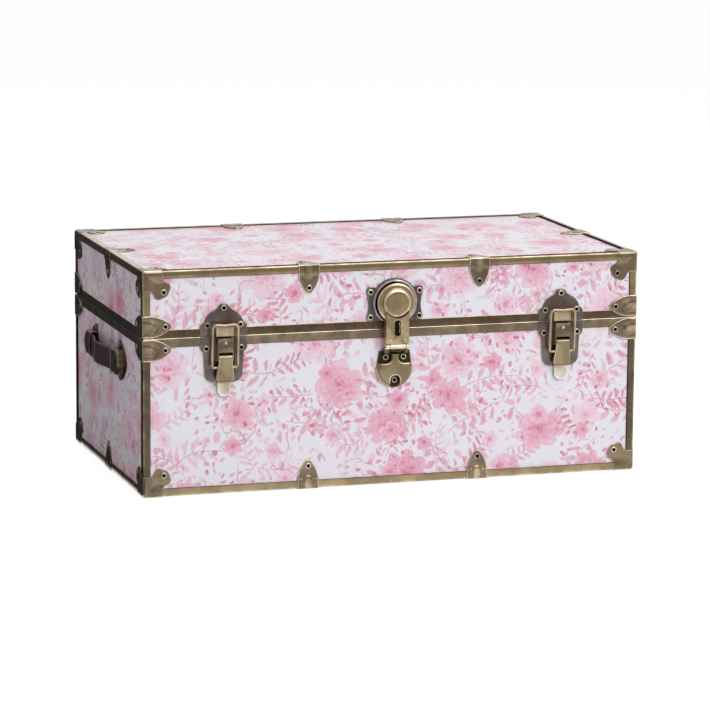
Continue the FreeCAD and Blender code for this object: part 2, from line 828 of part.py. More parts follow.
def make_clips(rivet):
    """Twelve clips along the top and bottom edges and eight clamps beside the split."""
    clip = wrap_clip("edge_clip", S.clip_tip_thick)
    clamp = rim_clamp()
    reach = S.clip_rivet_reach
    heads = {}
    for name, tip_thick in (("clip", S.clip_tip_thick), ("clamp", rim_proud + S.clamp_over_rim)):
        heads[name] = group(f"{name}_rivets", [
            copy_of(rivet, f"{name}_first_rivet", reach, -tip_thick, ZERO, FACING_FRONT),
            copy_of(rivet, f"{name}_second_rivet", -tip_thick, reach, ZERO, FACING_LEFT),
        ])
    back = QUARTERS[2]
    rivets = {"base": [], "lid": []}
    rows = {
        "base": (floor_z, FRONT_BOTTOM, LEFT_BOTTOM, -1, Rotation()),
        "lid": (roof_z, FRONT_TOP, LEFT_TOP, 1, UPSIDE_DOWN),
    }
    for shell, (z, front_turn, left_turn, sign, flip) in rows.items():
        sites = [
            (-clip_x, -half_y, front_turn),
            (clip_x, -half_y, front_turn),
            (-clip_x, half_y, back * front_turn),
            (clip_x, half_y, back * front_turn),
            (-half_x, ZERO, left_turn),
            (half_x, ZERO, back * left_turn),
        ]
        clips = [copy_of(clip, f"{shell}_clip", x, y, z, turn) for x, y, turn in sites]
        keep(group(f"{shell}_edge_clips", clips), f"{shell}_edge_clips")
        rivets[shell] += [
            copy_of(heads["clip"], f"{shell}_clip_rivets", x, y, z, turn) for x, y, turn in sites
        ]
        level = split_z + S.clamp_from_split * sign
        turns = [turn * flip for turn in QUARTERS]
        corners = list(zip(corner_places(), turns))
        clamps = [copy_of(clamp, f"{shell}_clamp", x, y, level, turn) for (x, y), turn in corners]
        keep(group(f"{shell}_rim_clamps", clamps), f"{shell}_rim_clamps")
        rivets[shell] += [
            copy_of(heads["clamp"], f"{shell}_clamp_rivets", x, y, level, turn) for (x, y), turn in corners
        ]
    return rivets


def clear_rim(body, half_length, sign, height):
    """Cut the room that a rim takes out of the back of a fitting laid over it."""
    edge = (rim_edge - S.split_gap) * sign
    far = (rim_edge + height) * sign
    low, high = (edge, far) if sign > 0 else (far, edge)
    cut_box(body, (-half_length, -rim_proud, low), (half_length, ZERO, high))


def catch_plate():
    """The lid plate of a draw bolt: square foot, rounded shoulders and a nose round its top rivet."""
    body = new_body("left_catch_plate")
    half = S.bolt_plate_half
    bow_x = (S.catch_shoulder_x + S.catch_neck_x) / 2 + S.bolt_plate_thick
    bow_z = (S.catch_shoulder_z + S.catch_neck_z) / 2 + S.bolt_plate_thick / 2
    corner_x = (half + S.catch_shoulder_x) / 2 + S.bolt_plate_thick / 2
    corner_z = (S.catch_side + S.catch_shoulder_z) / 2 + S.bolt_plate_thick / 4
    nose_x = S.catch_nose_half * HALF_QUARTER
    nose_z = S.catch_nose_z + (S.catch_top - S.catch_nose_z) * HALF_QUARTER
    pad(body, "XZ_Plane", mirrored([
        (ZERO, S.bolt_plate_gap),
        (half, S.bolt_plate_gap),
        (half, S.catch_side),
        (corner_x, corner_z, S.catch_shoulder_x, S.catch_shoulder_z),
        (bow_x, bow_z, S.catch_neck_x, S.catch_neck_z),
        (S.catch_nose_half, S.catch_nose_z),
        (nose_x, nose_z, ZERO, S.catch_top),
    ]), ZERO, S.bolt_plate_thick)
    clear_rim(body, half, 1, S.lid_rim_height)
    return body


def keeper():
    """The folded strike on the lid plate, open at its top where the bail passes."""
    body = new_body("left_keeper")
    half = S.keeper_width / 2
    wall_in = half - S.keeper_wall
    pad(body, "XZ_Plane", [
        (-half, S.bolt_plate_gap),
        (half, S.bolt_plate_gap),
        (half, S.keeper_top),
        (-half, S.keeper_top),
    ], S.bolt_plate_thick, S.keeper_depth)

    def on_crown(edge):
        middle = edge.CenterOfMass
        return middle.z > S.keeper_top.number - TOUCH and middle.y < -S.keeper_depth.number + TOUCH

    round_edges(body, on_crown, S.keeper_wall)
    cut_box(
        body,
        (-wall_in, -S.keeper_depth + S.keeper_wall, S.bolt_plate_gap + S.keeper_wall),
        (wall_in, -S.bolt_plate_thick, S.keeper_top),
    )
    return body


def latch_plate():
    """The base plate of a draw bolt, waisted under its two rivets and rounded at its foot."""
    body = new_body("left_latch_plate")
    half = S.bolt_plate_half
    corner_x = (half + S.latch_waist_x) / 2 + S.bolt_plate_thick / 2
    corner_z = (S.latch_side + S.latch_waist_z) / 2 + S.bolt_plate_thick / 4
    toe_x = (S.latch_foot_x + S.latch_toe_x) / 2 + S.bolt_plate_thick
    toe_z = (S.latch_foot_z + S.latch_bottom) / 2 + S.bolt_plate_thick
    pad(body, "XZ_Plane", mirrored([
        (ZERO, -S.latch_bottom),
        (S.latch_toe_x, -S.latch_bottom),
        (toe_x, -toe_z, S.latch_foot_x, -S.latch_foot_z),
        (S.latch_waist_x, -S.latch_waist_z),
        (corner_x, -corner_z, half, -S.latch_side),
        (half, -S.bolt_plate_gap),
        (ZERO, -S.bolt_plate_gap),
    ]), ZERO, S.bolt_plate_thick)
    clear_rim(body, half, -1, S.base_rim_height)
    return body


def latch_bracket():
    """The folded bracket that stands on the latch plate, with two ears for the lever's pin."""
    body = new_body("left_latch_bracket")
    half = S.bracket_width / 2
    inside = half - S.bracket_sheet
    back = -S.bolt_plate_thick
    front = -S.bracket_depth
    ear_bottom = -S.pin_drop - S.bracket_ear_reach
    add_box(body, (-half, front, -S.bracket_bottom), (half, front + S.bracket_sheet, -S.bracket_top))
    add_box(body, (-half, front, ear_bottom), (-inside, back, -S.bracket_top))
    add_box(body, (inside, front, ear_bottom), (half, back, -S.bracket_top))

    def on_ear(edge):
        middle = edge.CenterOfMass
        return middle.z < ear_bottom.number + TOUCH and abs(middle.y - front.number) < TOUCH

    round_edges(body, on_ear, S.bracket_ear_reach / 2)

    def on_front(edge):
        middle = edge.CenterOfMass
        along = abs(middle.x) > half.number - TOUCH
        return along and abs(middle.y - front.number) < TOUCH

    round_edges(body, on_front, S.bracket_sheet * FOLD_ROUND)
    cut_round(body, "x", (-half, -S.pin_depth, -S.pin_drop), S.pin_radius + S.running_fit, S.bracket_width)
    return body


def lever_pin():
    """The plain pin through the bracket's ears and the lever's barrel."""
    pin = doc.addObject("Part::Cylinder", "left_lever_pin")
    bind(pin, Radius=S.pin_radius, Height=S.bracket_width)
    return pin


def lever():
    """The channelled lever: rolled barrel at its top, flared sides and a rounded finger tab below."""
    body = new_body("left_lever")
    top_half = S.lever_top_width / 2
    foot_half = S.lever_foot_width / 2
    front_top = S.pin_depth + S.lever_barrel
    foot = S.lever_foot_depth
    back_top = front_top - S.lever_channel
    back_foot = foot - S.lever_channel
    drop = S.pin_drop
    bottom = S.lever_bottom
    pad(body, "YZ_Plane", [
        (-front_top, -drop),
        (-foot, -bottom),
        (-back_foot, -bottom),
        (-back_top, -drop),
    ], -foot_half, foot_half)
    for side in (1, -1):
        wide = foot_half + S.lever_wall
        pocket(body, "XZ_Plane", [
            (top_half * side, -drop + S.lever_barrel),
            (foot_half * side, -bottom + S.lever_notch * 2),
            (foot_half * side, -bottom + S.lever_notch),
            ((foot_half - S.lever_notch) * side, -bottom),
            ((foot_half - S.lever_notch) * side, -bottom - S.lever_notch),
            (wide * side, -bottom - S.lever_notch),
            (wide * side, -drop + S.lever_barrel),
        ], ZERO, front_top + S.lever_barrel)
    inner_half = top_half - S.lever_wall
    pocket(body, "YZ_Plane", [
        (-front_top + S.lever_sheet, -drop),
        (-foot + S.lever_sheet, -bottom + S.tab_lap),
        (ZERO, -bottom + S.tab_lap),
        (ZERO, -drop),
    ], -inner_half, inner_half)
    axis = (-top_half, -S.pin_depth, -drop)
    add_round(body, "x", axis, S.lever_barrel, S.lever_top_width)
    tab_half = S.tab_width / 2
    tab_side = S.tab_bottom - tab_half
    tab_bow = tab_half * HALF_QUARTER
    pad(body, "XZ_Plane", [
        (-tab_half, -bottom + S.tab_lap),
        (-tab_half, -tab_side),
        (-tab_bow, -tab_side - tab_bow, ZERO, -S.tab_bottom),
        (tab_bow, -tab_side - tab_bow, tab_half, -tab_side),
        (tab_half, -bottom + S.tab_lap),
    ], S.tab_depth, S.tab_depth + S.tab_sheet)
    holes = ((S.pin_depth, drop, S.pin_radius), (S.bail_depth, S.bail_drop, S.bail_wire))
    for depth, fall, radius in holes:
        cut_round(body, "x", (-foot_half, -depth, -fall), radius + S.running_fit, S.lever_foot_width)
    return body


def bail():
    """The wire loop: a bar over the keeper, two long sides and two feet turned in to the lever.

    Its own origin is the axis of its feet.
    """
    body = new_body("left_bail")
    side = S.bail_width / 2 - S.bail_wire
    top = S.bail_height
    low = S.bail_foot_bend
    bend = S.bail_top_bend
    toe = S.lever_top_width / 2 - S.lever_wall
    spine = body.newObject("Sketcher::SketchObject", "left_bail_spine")
    spine.AttachmentSupport = (origin_plane(body, "XZ_Plane"), [""])
    spine.MapMode = "FlatFace"
    half = [(toe, ZERO), (side - low, ZERO), (side, low), (side, top - bend), (side - bend, top)]
    points = half + [(-x, z) for x, z in reversed(half)]
    arcs = {1: low, 3: bend, 5: bend, 7: low}
    centres = {1: (side - low, low), 3: (side - bend, top - bend)}
    centres.update({5: (bend - side, top - bend), 7: (low - side, low)})
    vectors = [Vector(x.number, z.number, 0) for x, z in points]
    shapes = []
    for index in range(len(points) - 1):
        start, stop = vectors[index], vectors[index + 1]
        if index in arcs:
            centre = Vector(*(number.number for number in centres[index]), 0)
            middle = (start + stop) / 2 - centre
            middle = centre + middle.normalize() * arcs[index].number
            shapes.append(Part.Arc(start, middle, stop))
        else:
            shapes.append(Part.LineSegment(start, stop))
    spine.addGeometry(shapes, False)
    ties = []
    rules = []
    for index, (x, z) in enumerate(points[:-1]):
        for rule, dim in (("DistanceX", x), ("DistanceY", z)):
            ties.append((len(rules), dim))
            rules.append(Sketcher.Constraint(rule, -1, 1, index, 1, dim.number))
        if index:
            rules.append(Sketcher.Constraint("Coincident", index - 1, 2, index, 1))
    last = len(shapes) - 1
    for rule, dim in (("DistanceX", points[-1][0]), ("DistanceY", points[-1][1])):
        ties.append((len(rules), dim))
        rules.append(Sketcher.Constraint(rule, -1, 1, last, 2, dim.number))
    for index, radius in arcs.items():
        ties.append((len(rules), radius))
        rules.append(Sketcher.Constraint("Radius", index, radius.number))
    spine.addConstraint(rules)
    for index, dim in ties:
        spine.setExpression(f"Constraints[{index}]", dim.text)
    section = body.newObject("Sketcher::SketchObject", "left_bail_section")
    section.AttachmentSupport = (origin_plane(body, "YZ_Plane"), [""])
    section.MapMode = "FlatFace"
    bind(section, AttachmentOffset__Base__z=toe)
    section.addGeometry(Part.Circle(Vector(), Vector(0, 0, 1), S.bail_wire.number), False)
    section.addConstraint([
        Sketcher.Constraint("Coincident", 0, 3, -1, 1),
        Sketcher.Constraint("Radius", 0, S.bail_wire.number),
    ])
    section.setExpression("Constraints[1]", S.bail_wire.text)
    doc.recompute()
    pipe = body.newObject("PartDesign::AdditivePipe", "left_bail_pipe")
    pipe.Profile = section
    pipe.Spine = (spine, [f"Edge{n}" for n in range(1, len(shapes) + 1)])
    return body


def make_draw_bolts(rivet):
    """Two draw bolts on the front; returns the rivets of the base and of the lid."""
    pieces = {
        "catch_plate": (catch_plate(), ZERO, ZERO),
        "keeper": (keeper(), ZERO, ZERO),
        "latch_plate": (latch_plate(), ZERO, ZERO),
        "latch_bracket": (latch_bracket(), ZERO, ZERO),
        "lever": (lever(), ZERO, ZERO),
        "bail": (bail(), S.bail_depth, S.bail_drop),
    }
    bar_depth = S.keeper_depth + S.bail_clearance + S.bail_wire
    lean = arctan((bar_depth - S.bail_depth) / S.bail_height)
    for name, (piece, depth, drop) in pieces.items():
        y = -half_y - depth
        z = split_z - drop
        keep(place(piece, -bolt_x, y, z), f"left_{name}")
        right = copy_of(piece, f"right_{name}", bolt_x, y, z)
        keep(right, f"right_{name}")
        if name == "bail":
            for wire in (piece, right):
                wire.setExpression("Placement.Rotation.Axis.x", "1")
                wire.setExpression("Placement.Rotation.Axis.y", "0")
                wire.setExpression("Placement.Rotation.Axis.z", "0")
                bind(wire, Placement__Rotation__Angle=lean)
    pin = lever_pin()
    half = S.bracket_width / 2
    pin_y = -half_y - S.pin_depth
    pin_z = split_z - S.pin_drop
    keep(group("lever_pins", [
        copy_of(pin, "left_pin", -bolt_x - half, pin_y, pin_z, AXES["x"]),
        copy_of(pin, "right_pin", bolt_x - half, pin_y, pin_z, AXES["x"]),
    ]), "lever_pins")
    seat = S.bolt_plate_thick
    catch = riveted("catch", rivet, [
        (S.catch_rivet_x, seat, S.catch_rivet_z),
        (-S.catch_rivet_x, seat, S.catch_rivet_z),
        (ZERO, seat, S.catch_top_rivet_z),
    ])
    latch = riveted("latch", rivet, [
        (S.latch_rivet_x, seat, -S.latch_rivet_z),
        (-S.latch_rivet_x, seat, -S.latch_rivet_z),
    ])
    rivets = {"base": [], "lid": []}
    for shell, heads in (("lid", catch), ("base", latch)):
        for x in (-bolt_x, bolt_x):
            rivets[shell].append(copy_of(heads, f"{shell}_bolt_rivets", x, -half_y, split_z))
    return rivets


def ring_plate():
    """The lid plate behind the hasp's head: four ears, waisted sides, an arched top and a raised ring."""
    body = new_body("hasp_ring_plate")
    low = S.ring_plate_bottom
    centre = S.ring_centre
    ear = S.ring_ear_x
    rise = S.ring_rivet_rise
    half = S.ring_ear_half
    inner_ear = S.ring_rivet_x
    arch_x, arch_z = on_circle(S.ring_plate_arch, S.ring_arch_from)
    bow_x, bow_z = on_circle(S.ring_plate_arch, (S.ring_arch_from + RIGHT_ANGLE) / 2)
    pad(body, "XZ_Plane", mirrored([
        (ZERO, low),
        (inner_ear, low),
        (ear - half / 4, low + half / 4, ear, low + half),
        (S.ring_waist_x, centre - half / 2, ear, centre + rise - half),
        (ear, centre + rise - half / 2),
        (ear - half / 4, centre + rise + half / 2, inner_ear, centre + rise + half),
        (arch_x, centre + arch_z),
        (bow_x, centre + bow_z, ZERO, centre + S.ring_plate_arch),
    ]), ZERO, S.ring_plate_thick)
    add_round(body, "y", (ZERO, -S.ring_rise, centre), S.ring_outer, S.ring_rise)
    cut_round(body, "y", (ZERO, -S.ring_rise, centre), S.ring_inner, S.ring_rise - S.ring_plate_thick)
    cut_box(
        body,
        (-S.ring_outer, -S.ring_rise, centre - S.ring_outer - S.ring_rise),
        (S.ring_outer, ZERO, low),
    )
    return body


def hasp_strap():
    """The channelled strap of the hasp with its keyhole and hinge knuckle."""
    body = new_body("hasp_strap")
    half = S.hasp_width / 2
    inside = half - S.hasp_sheet
    front = -S.hasp_depth
    top = S.ring_centre - S.head_disc_radius / 2
    skirt_back = rim_proud + S.skirt_clearance
    skirt_top = S.ring_plate_bottom - S.skirt_top_gap
    add_box(body, (-half, front, -S.hasp_face_bottom), (half, front + S.hasp_sheet, top))
    for low, high in ((-half, -inside), (inside, half)):
        add_box(body, (low, front, -S.hasp_skirt_bottom), (high, -skirt_back, skirt_top))
        add_box(body, (low, front, skirt_top), (high, -hasp_back, top))

    def on_front(edge):
        middle = edge.CenterOfMass
        along = abs(middle.x) > half.number - TOUCH
        return along and middle.y < front.number + TOUCH

    round_edges(body, on_front, S.hasp_sheet * FOLD_ROUND)
    axis_y = -S.hasp_axis_depth
    axis_z = -S.hasp_axis_drop
    left = -S.hasp_knuckle_left
    length = S.hasp_knuckle_left + S.hasp_knuckle_right
    add_round(body, "x", (left, axis_y, axis_z), S.hasp_barrel, length)
    add_box(body, (left, front, axis_z), (S.hasp_knuckle_right, front + S.hasp_sheet, -S.hasp_face_bottom))
    cut_round(body, "x", (left, axis_y, axis_z), S.hasp_pin_radius + S.running_fit, length)
    centre = S.ring_centre
    cut_round(body, "y", (ZERO, -S.head_flange, centre), S.head_radius, S.head_flange)
    reach = S.hasp_depth - S.head_flange
    cut_round(body, "y", (ZERO, front, centre), S.head_disc_radius, reach)
    end = S.slot_width / 2
    bow = end * HALF_QUARTER
    run = S.slot_height / 2 - end
    middle = S.slot_centre
    pocket(body, "XZ_Plane", mirrored([
        (ZERO, middle - S.slot_height / 2),
        (bow, middle - run - bow, end, middle - run),
        (end, middle + run),
        (bow, middle + run + bow, ZERO, middle + S.slot_height / 2),
    ]), S.hasp_depth - S.hasp_sheet * 2, S.hasp_depth)
    return body


def hasp_head():
    """The round head: a flange with a crowned disc, hollow behind, turned about a line along Y."""
    body = new_body("hasp_head")
    centre = S.ring_centre
    flange = S.head_flange
    disc = S.head_disc_radius
    flat = S.head_crown_flat
    bow_z = (disc + flat) / 2
    bow_y = S.head_disc_edge + (S.head_crown - S.head_disc_edge) * CROWN_BOW
    sketch = outline(body, "YZ_Plane", [
        (-hasp_back - S.head_recess, centre),
        (-hasp_back - S.head_recess, centre + S.head_recess_radius),
        (-hasp_back, centre + S.head_recess_radius),
        (-hasp_back, centre + S.head_radius),
        (-flange, centre + S.head_radius),
        (-flange, centre + disc),
        (-S.head_disc_edge, centre + disc),
        (-bow_y, centre + bow_z, -S.head_crown, centre + flat),
        (-S.head_crown, centre),
    ])
    line = body.newObject("PartDesign::Line", "hasp_head_axis")
    place(line, ZERO, ZERO, centre, AXES["y"])
    turned = body.newObject("PartDesign::Revolution", "hasp_head_turned")
    turned.Profile = sketch
    turned.ReferenceAxis = (line, [""])
    turned.Angle = 360
    return body


def shield_plate():
    """The base plate of the hasp: a raised shield with three rivet wells and two hinge knuckles."""
    body = new_body("hasp_shield_plate")
    top = S.shield_top
    bottom = S.shield_bottom
    wide = S.shield_wide_z
    drop = bottom - wide

    def shield(border):
        half = S.shield_half - border
        low = drop - border
        return mirrored([
            (ZERO, -wide - low),
            (half * HALF_QUARTER, -wide - low * HALF_QUARTER, half, -wide),
            (S.shield_top_half - border, -top),
            (ZERO, -top),
        ])

    pad(body, "XZ_Plane", shield(ZERO), ZERO, S.shield_flange)
    pad(body, "XZ_Plane", shield(S.shield_border), S.shield_flange, S.shield_rise)

    def on_face(edge):
        box = edge.BoundBox
        return box.YMax < -S.shield_rise.number + TOUCH and box.ZMin < -top.number - TOUCH

    round_edges(body, on_face, S.shield_border)
    well = S.shield_well_radius
    bow = well * HALF_QUARTER
    for side in (1, -1):
        pocket(body, "XZ_Plane", [
            (S.shield_half * side, -S.shield_rivet_z + well),
            (S.shield_rivet_x * side, -S.shield_rivet_z + well),
            (
                (S.shield_rivet_x - bow) * side,
                -S.shield_rivet_z + bow,
                (S.shield_rivet_x - well) * side,
                -S.shield_rivet_z,
            ),
            (
                (S.shield_rivet_x - bow) * side,
                -S.shield_rivet_z - bow,
                S.shield_rivet_x * side,
                -S.shield_rivet_z - well,
            ),
            (S.shield_half * side, -S.shield_rivet_z - well),
        ], S.shield_flange, S.shield_rise)
    low = S.shield_low_well
    low_bow = low * HALF_QUARTER
    pocket(body, "XZ_Plane", mirrored([
        (ZERO, -bottom),
        (low, -bottom),
        (low, -S.shield_low_rivet_z),
        (low_bow, -S.shield_low_rivet_z + low_bow, ZERO, -S.shield_low_rivet_z + low),
    ]), S.shield_flange, S.shield_rise)
    axis_y = -S.hasp_axis_depth
    axis_z = -S.hasp_axis_drop
    half = S.hasp_width / 2
    knuckles = [
        (-half, -S.hasp_knuckle_left - S.knuckle_gap),
        (S.hasp_knuckle_right + S.knuckle_gap, half),
    ]
    arm_back = -S.shield_rise + S.hasp_sheet
    arm_bottom = -top - S.hasp_sheet
    for low_x, high_x in knuckles:
        add_box(body, (low_x, -S.shield_arm_depth, arm_bottom), (high_x, arm_back, axis_z))
        add_round(body, "x", (low_x, axis_y, axis_z), S.hasp_barrel, high_x - low_x)
        cut_round(body, "x", (low_x, axis_y, axis_z), S.hasp_pin_radius + S.running_fit, high_x - low_x)
    return body


def hasp_pin():
    """The plain pin of the hasp's hinge."""
    pin = doc.addObject("Part::Cylinder", "hasp_pin")
    bind(pin, Radius=S.hasp_pin_radius, Height=S.hasp_width)
    return pin


def make_hasp(rivet):
    """The hasp in the middle of the front; returns the rivets of the base and of the lid."""
    for piece in (ring_plate(), hasp_strap(), hasp_head(), shield_plate()):
        keep(place(piece, ZERO, -half_y, split_z), piece.Name)
    pin_y = -half_y - S.hasp_axis_depth
    pin_z = split_z - S.hasp_axis_drop
    keep(place(hasp_pin(), -S.hasp_width / 2, pin_y, pin_z, AXES["x"]), "hasp_pin")
    high = S.ring_centre + S.ring_rivet_rise - S.ring_ear_half / 2
    low = S.ring_plate_bottom + S.ring_ear_half
    ring = riveted("ring", rivet, [
        (x, S.ring_plate_thick, z) for x in (-S.ring_rivet_x, S.ring_rivet_x) for z in (low, high)
    ])
    shield = riveted("shield", rivet, [
        (S.shield_rivet_x, S.shield_flange, -S.shield_rivet_z),
        (-S.shield_rivet_x, S.shield_flange, -S.shield_rivet_z),
        (ZERO, S.shield_flange, -S.shield_low_rivet_z),
    ])
    for heads in (ring, shield):
        place(heads, ZERO, -half_y, split_z)
    return {"base": [shield], "lid": [ring]}


def handle_cap():
    """A hooded end cap with two pointed horns; its mouth faces the middle of the handle."""
    body = new_body("handle_cap")
    half = S.hood_half
    pad(body, "XZ_Plane", [
        (S.handle_mouth, -half),
        (S.handle_horn_x, -S.handle_horn_z),
        (S.handle_side_x, -S.handle_side_z, S.handle_outer, ZERO),
        (S.handle_side_x, S.handle_side_z, S.handle_horn_x, S.handle_horn_z),
        (S.handle_mouth, half),
    ], ZERO, S.handle_plate_thick)
    pad(body, "XZ_Plane", [
        (S.handle_mouth, -half),
        (S.hood_straight, -half),
        (S.hood_outer, ZERO, S.hood_straight, half),
        (S.handle_mouth, half),
    ], S.handle_plate_thick, S.hood_height)

    def on_hood(edge):
        box = edge.BoundBox
        return box.YMax < -S.hood_height.number + TOUCH and box.XMax > S.handle_mouth.number + TOUCH

    round_edges(body, on_hood, S.hood_round)
    cut_box(
        body,
        (S.handle_mouth, -S.hood_height + S.hood_wall, -hood_inside),
        (S.hood_straight, -S.handle_plate_thick, hood_inside),
    )
    return body


def handle_strap():
    """The bowed leather strap, seen from above as a bent band with its ends inside the hoods."""
    body = new_body("left_handle_strap")
    half = S.strap_thick / 2
    seat = S.handle_plate_thick + S.strap_clearance
    outer = [
        (-S.strap_end_x, -seat - S.strap_thick),
        (-S.strap_bend_x, -S.strap_bend_depth - half),
        (ZERO, -S.strap_bow_depth - half, S.strap_bend_x, -S.strap_bend_depth - half),
        (S.strap_end_x, -seat - S.strap_thick),
    ]
    inner = [
        (S.strap_end_x, -seat),
        (S.strap_bend_x, half - S.strap_bend_depth),
        (ZERO, half - S.strap_bow_depth, -S.strap_bend_x, half - S.strap_bend_depth),
        (-S.strap_end_x, -seat),
    ]
    width = hood_inside - S.strap_side_clearance
    pad(body, "XY_Plane", outer + inner, -width, width)
    return body


def make_handles(rivet):
    """A strap handle on each end; returns the rivets of the base."""
    cap = handle_cap()
    strap = handle_strap()
    heads = riveted("handle", rivet, [
        (S.handle_rivet_x, S.handle_plate_thick, S.handle_rivet_z),
        (S.handle_rivet_x, S.handle_plate_thick, -S.handle_rivet_z),
    ])
    z = handle_z
    flip = Rotation(Vector(0, 1, 0), 180)
    rivets = []
    for side, x, turn in (("left", -half_x, QUARTERS[3]), ("right", half_x, QUARTERS[1])):
        ends = (turn, turn * flip)
        caps = [copy_of(cap, f"{side}_handle_cap", x, ZERO, z, end) for end in ends]
        keep(group(f"{side}_handle_caps", caps), f"{side}_handle_caps")
        rivets += [copy_of(heads, f"{side}_handle_rivets", x, ZERO, z, end) for end in ends]
    keep(place(strap, -half_x, ZERO, z, QUARTERS[3]), "left_handle_strap")
    keep(copy_of(strap, "right_handle_strap", half_x, ZERO, z, QUARTERS[1]), "right_handle_strap")
    return {"base": rivets, "lid": []}


def hinge_leaf(label, sign, knuckles):
    """One leaf of a hinge, above or below the split, with its knuckles round the pin."""
    body = new_body(label)
    half = S.hinge_width / 2
    near = S.hinge_leaf_gap * sign
    far = S.hinge_leaf_reach * sign
    corner = S.hinge_corner
    inset = corner * (1 - HALF_QUARTER)
    path = [
        (half, near),
        (half, far - corner * sign),
        (half - inset, far - inset * sign, half - corner, far),
        (corner - half, far),
        (inset - half, far - inset * sign, -half, far - corner * sign),
        (-half, near),
    ]
    pad(body, "XZ_Plane", path, ZERO, S.hinge_leaf_thick)
    axis_y = -S.hinge_axis_depth
    reach = (S.hinge_leaf_gap + S.hinge_web) * sign
    low, high = (ZERO, reach) if sign > 0 else (reach, ZERO)
    for left, right in knuckles:
        add_box(body, (left, axis_y, low), (right, -rim_proud, high))
        add_round(body, "x", (left, axis_y, ZERO), S.hinge_barrel, right - left)
        cut_round(body, "x", (left, axis_y, ZERO), S.hinge_pin_radius + S.running_fit, right - left)
    clear_rim(body, half, sign, S.lid_rim_height if sign > 0 else S.base_rim_height)
    return body


def make_hinges(rivet):
    """Two barrel hinges on the back; returns the rivets of the base and of the lid."""
    half = S.hinge_width / 2
    middle = S.hinge_middle_half
    outer = middle + S.knuckle_gap
    base_leaf = hinge_leaf("hinge_base_leaf", -1, [(-half, -outer), (outer, half)])
    lid_leaf = hinge_leaf("hinge_lid_leaf", 1, [(-middle, middle)])
    pin = doc.addObject("Part::Cylinder", "hinge_pin")
    bind(pin, Radius=S.hinge_pin_radius, Height=S.hinge_width)
    sites = [-hinge_x, hinge_x]
    back = QUARTERS[2]
    z = split_z
    for name, leaf in (("hinge_base_leaves", base_leaf), ("hinge_lid_leaves", lid_leaf)):
        keep(group(name, [copy_of(leaf, f"{name}_copy", x, half_y, z, back) for x in sites]), name)
    pin_y = half_y + S.hinge_axis_depth
    pins = [copy_of(pin, "hinge_pin_copy", x - half, pin_y, z, AXES["x"]) for x in sites]
    keep(group("hinge_pins", pins), "hinge_pins")
    rivets = {}
    for shell, sign in (("base", -1), ("lid", 1)):
        heads = riveted(f"{shell}_hinge", rivet, [
            (-S.hinge_rivet_x, S.hinge_leaf_thick, S.hinge_rivet_z * sign),
            (S.hinge_rivet_x, S.hinge_leaf_thick, S.hinge_rivet_z * sign),
            (ZERO, S.hinge_leaf_thick, S.hinge_low_rivet_z * sign),
        ])
        rivets[shell] = [copy_of(heads, f"{shell}_hinge_rivets_copy", x, half_y, z, back) for x in sites]
    return rivets


def make_trunk():
    """Build every sub-part, and gather the rivets of the base and of the lid."""
    make_panels()
    make_sheets()
    make_rims()
    make_trims()
    rivet = make_rivet()
    rivets = {"base": [], "lid": []}
    for maker in (make_caps, make_clips, make_draw_bolts, make_hasp, make_handles, make_hinges):
        for shell, heads in maker(rivet).items():
            rivets[shell] += heads
    for shell, heads in rivets.items():
        keep(group(f"{shell}_rivets", heads), f"{shell}_rivets")


def check_and_write():
    """Stop at a failed object or a bad shape, then write one file for each sub-part."""
    doc.recompute()
    failed = [thing.Name for thing in doc.Objects if {"Invalid", "Error"} & set(thing.State)]
    if failed:
        raise RuntimeError(f"objects failed to build: {failed}")
    shapes = {thing.Label: Part.getShape(thing) for thing in sub_parts}
    bad = [label for label, shape in shapes.items() if shape.isNull() or not shape.isValid()]
    if bad:
        raise RuntimeError(f"sub-parts with a bad shape: {bad}")
    os.makedirs("parts", exist_ok=True)
    for label, shape in shapes.items():
        shape.exportStep(f"parts/{label}.step")
        print(f"{label}: {len(shape.Solids)} solid(s), {shape.Volume / 1000:.2f} cm3")
    print(f"{len(shapes)} sub-parts")


make_trunk()
check_and_write()
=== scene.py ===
"""Looks of a covered dorm trunk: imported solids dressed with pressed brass, printed paper and leather.

Lengths are millimetres until a mesh is written, which is in metres. X runs right along the front, Y to the
back and Z up; the origin lies on the floor under the middle of the box. Each fitting is worked out flat
against a wall, with X across it, Z up it and its depth out along -Y, and is then turned to its own wall.
"""

from __future__ import annotations

import json
import logging
import math
from dataclasses import dataclass, field
from enum import Enum
from typing import Any, Callable, Sequence

import bmesh
import bpy
import numpy as np
from bpy.types import Material, Mesh, NodeSocket, Object, World
from mathutils import Matrix, Vector

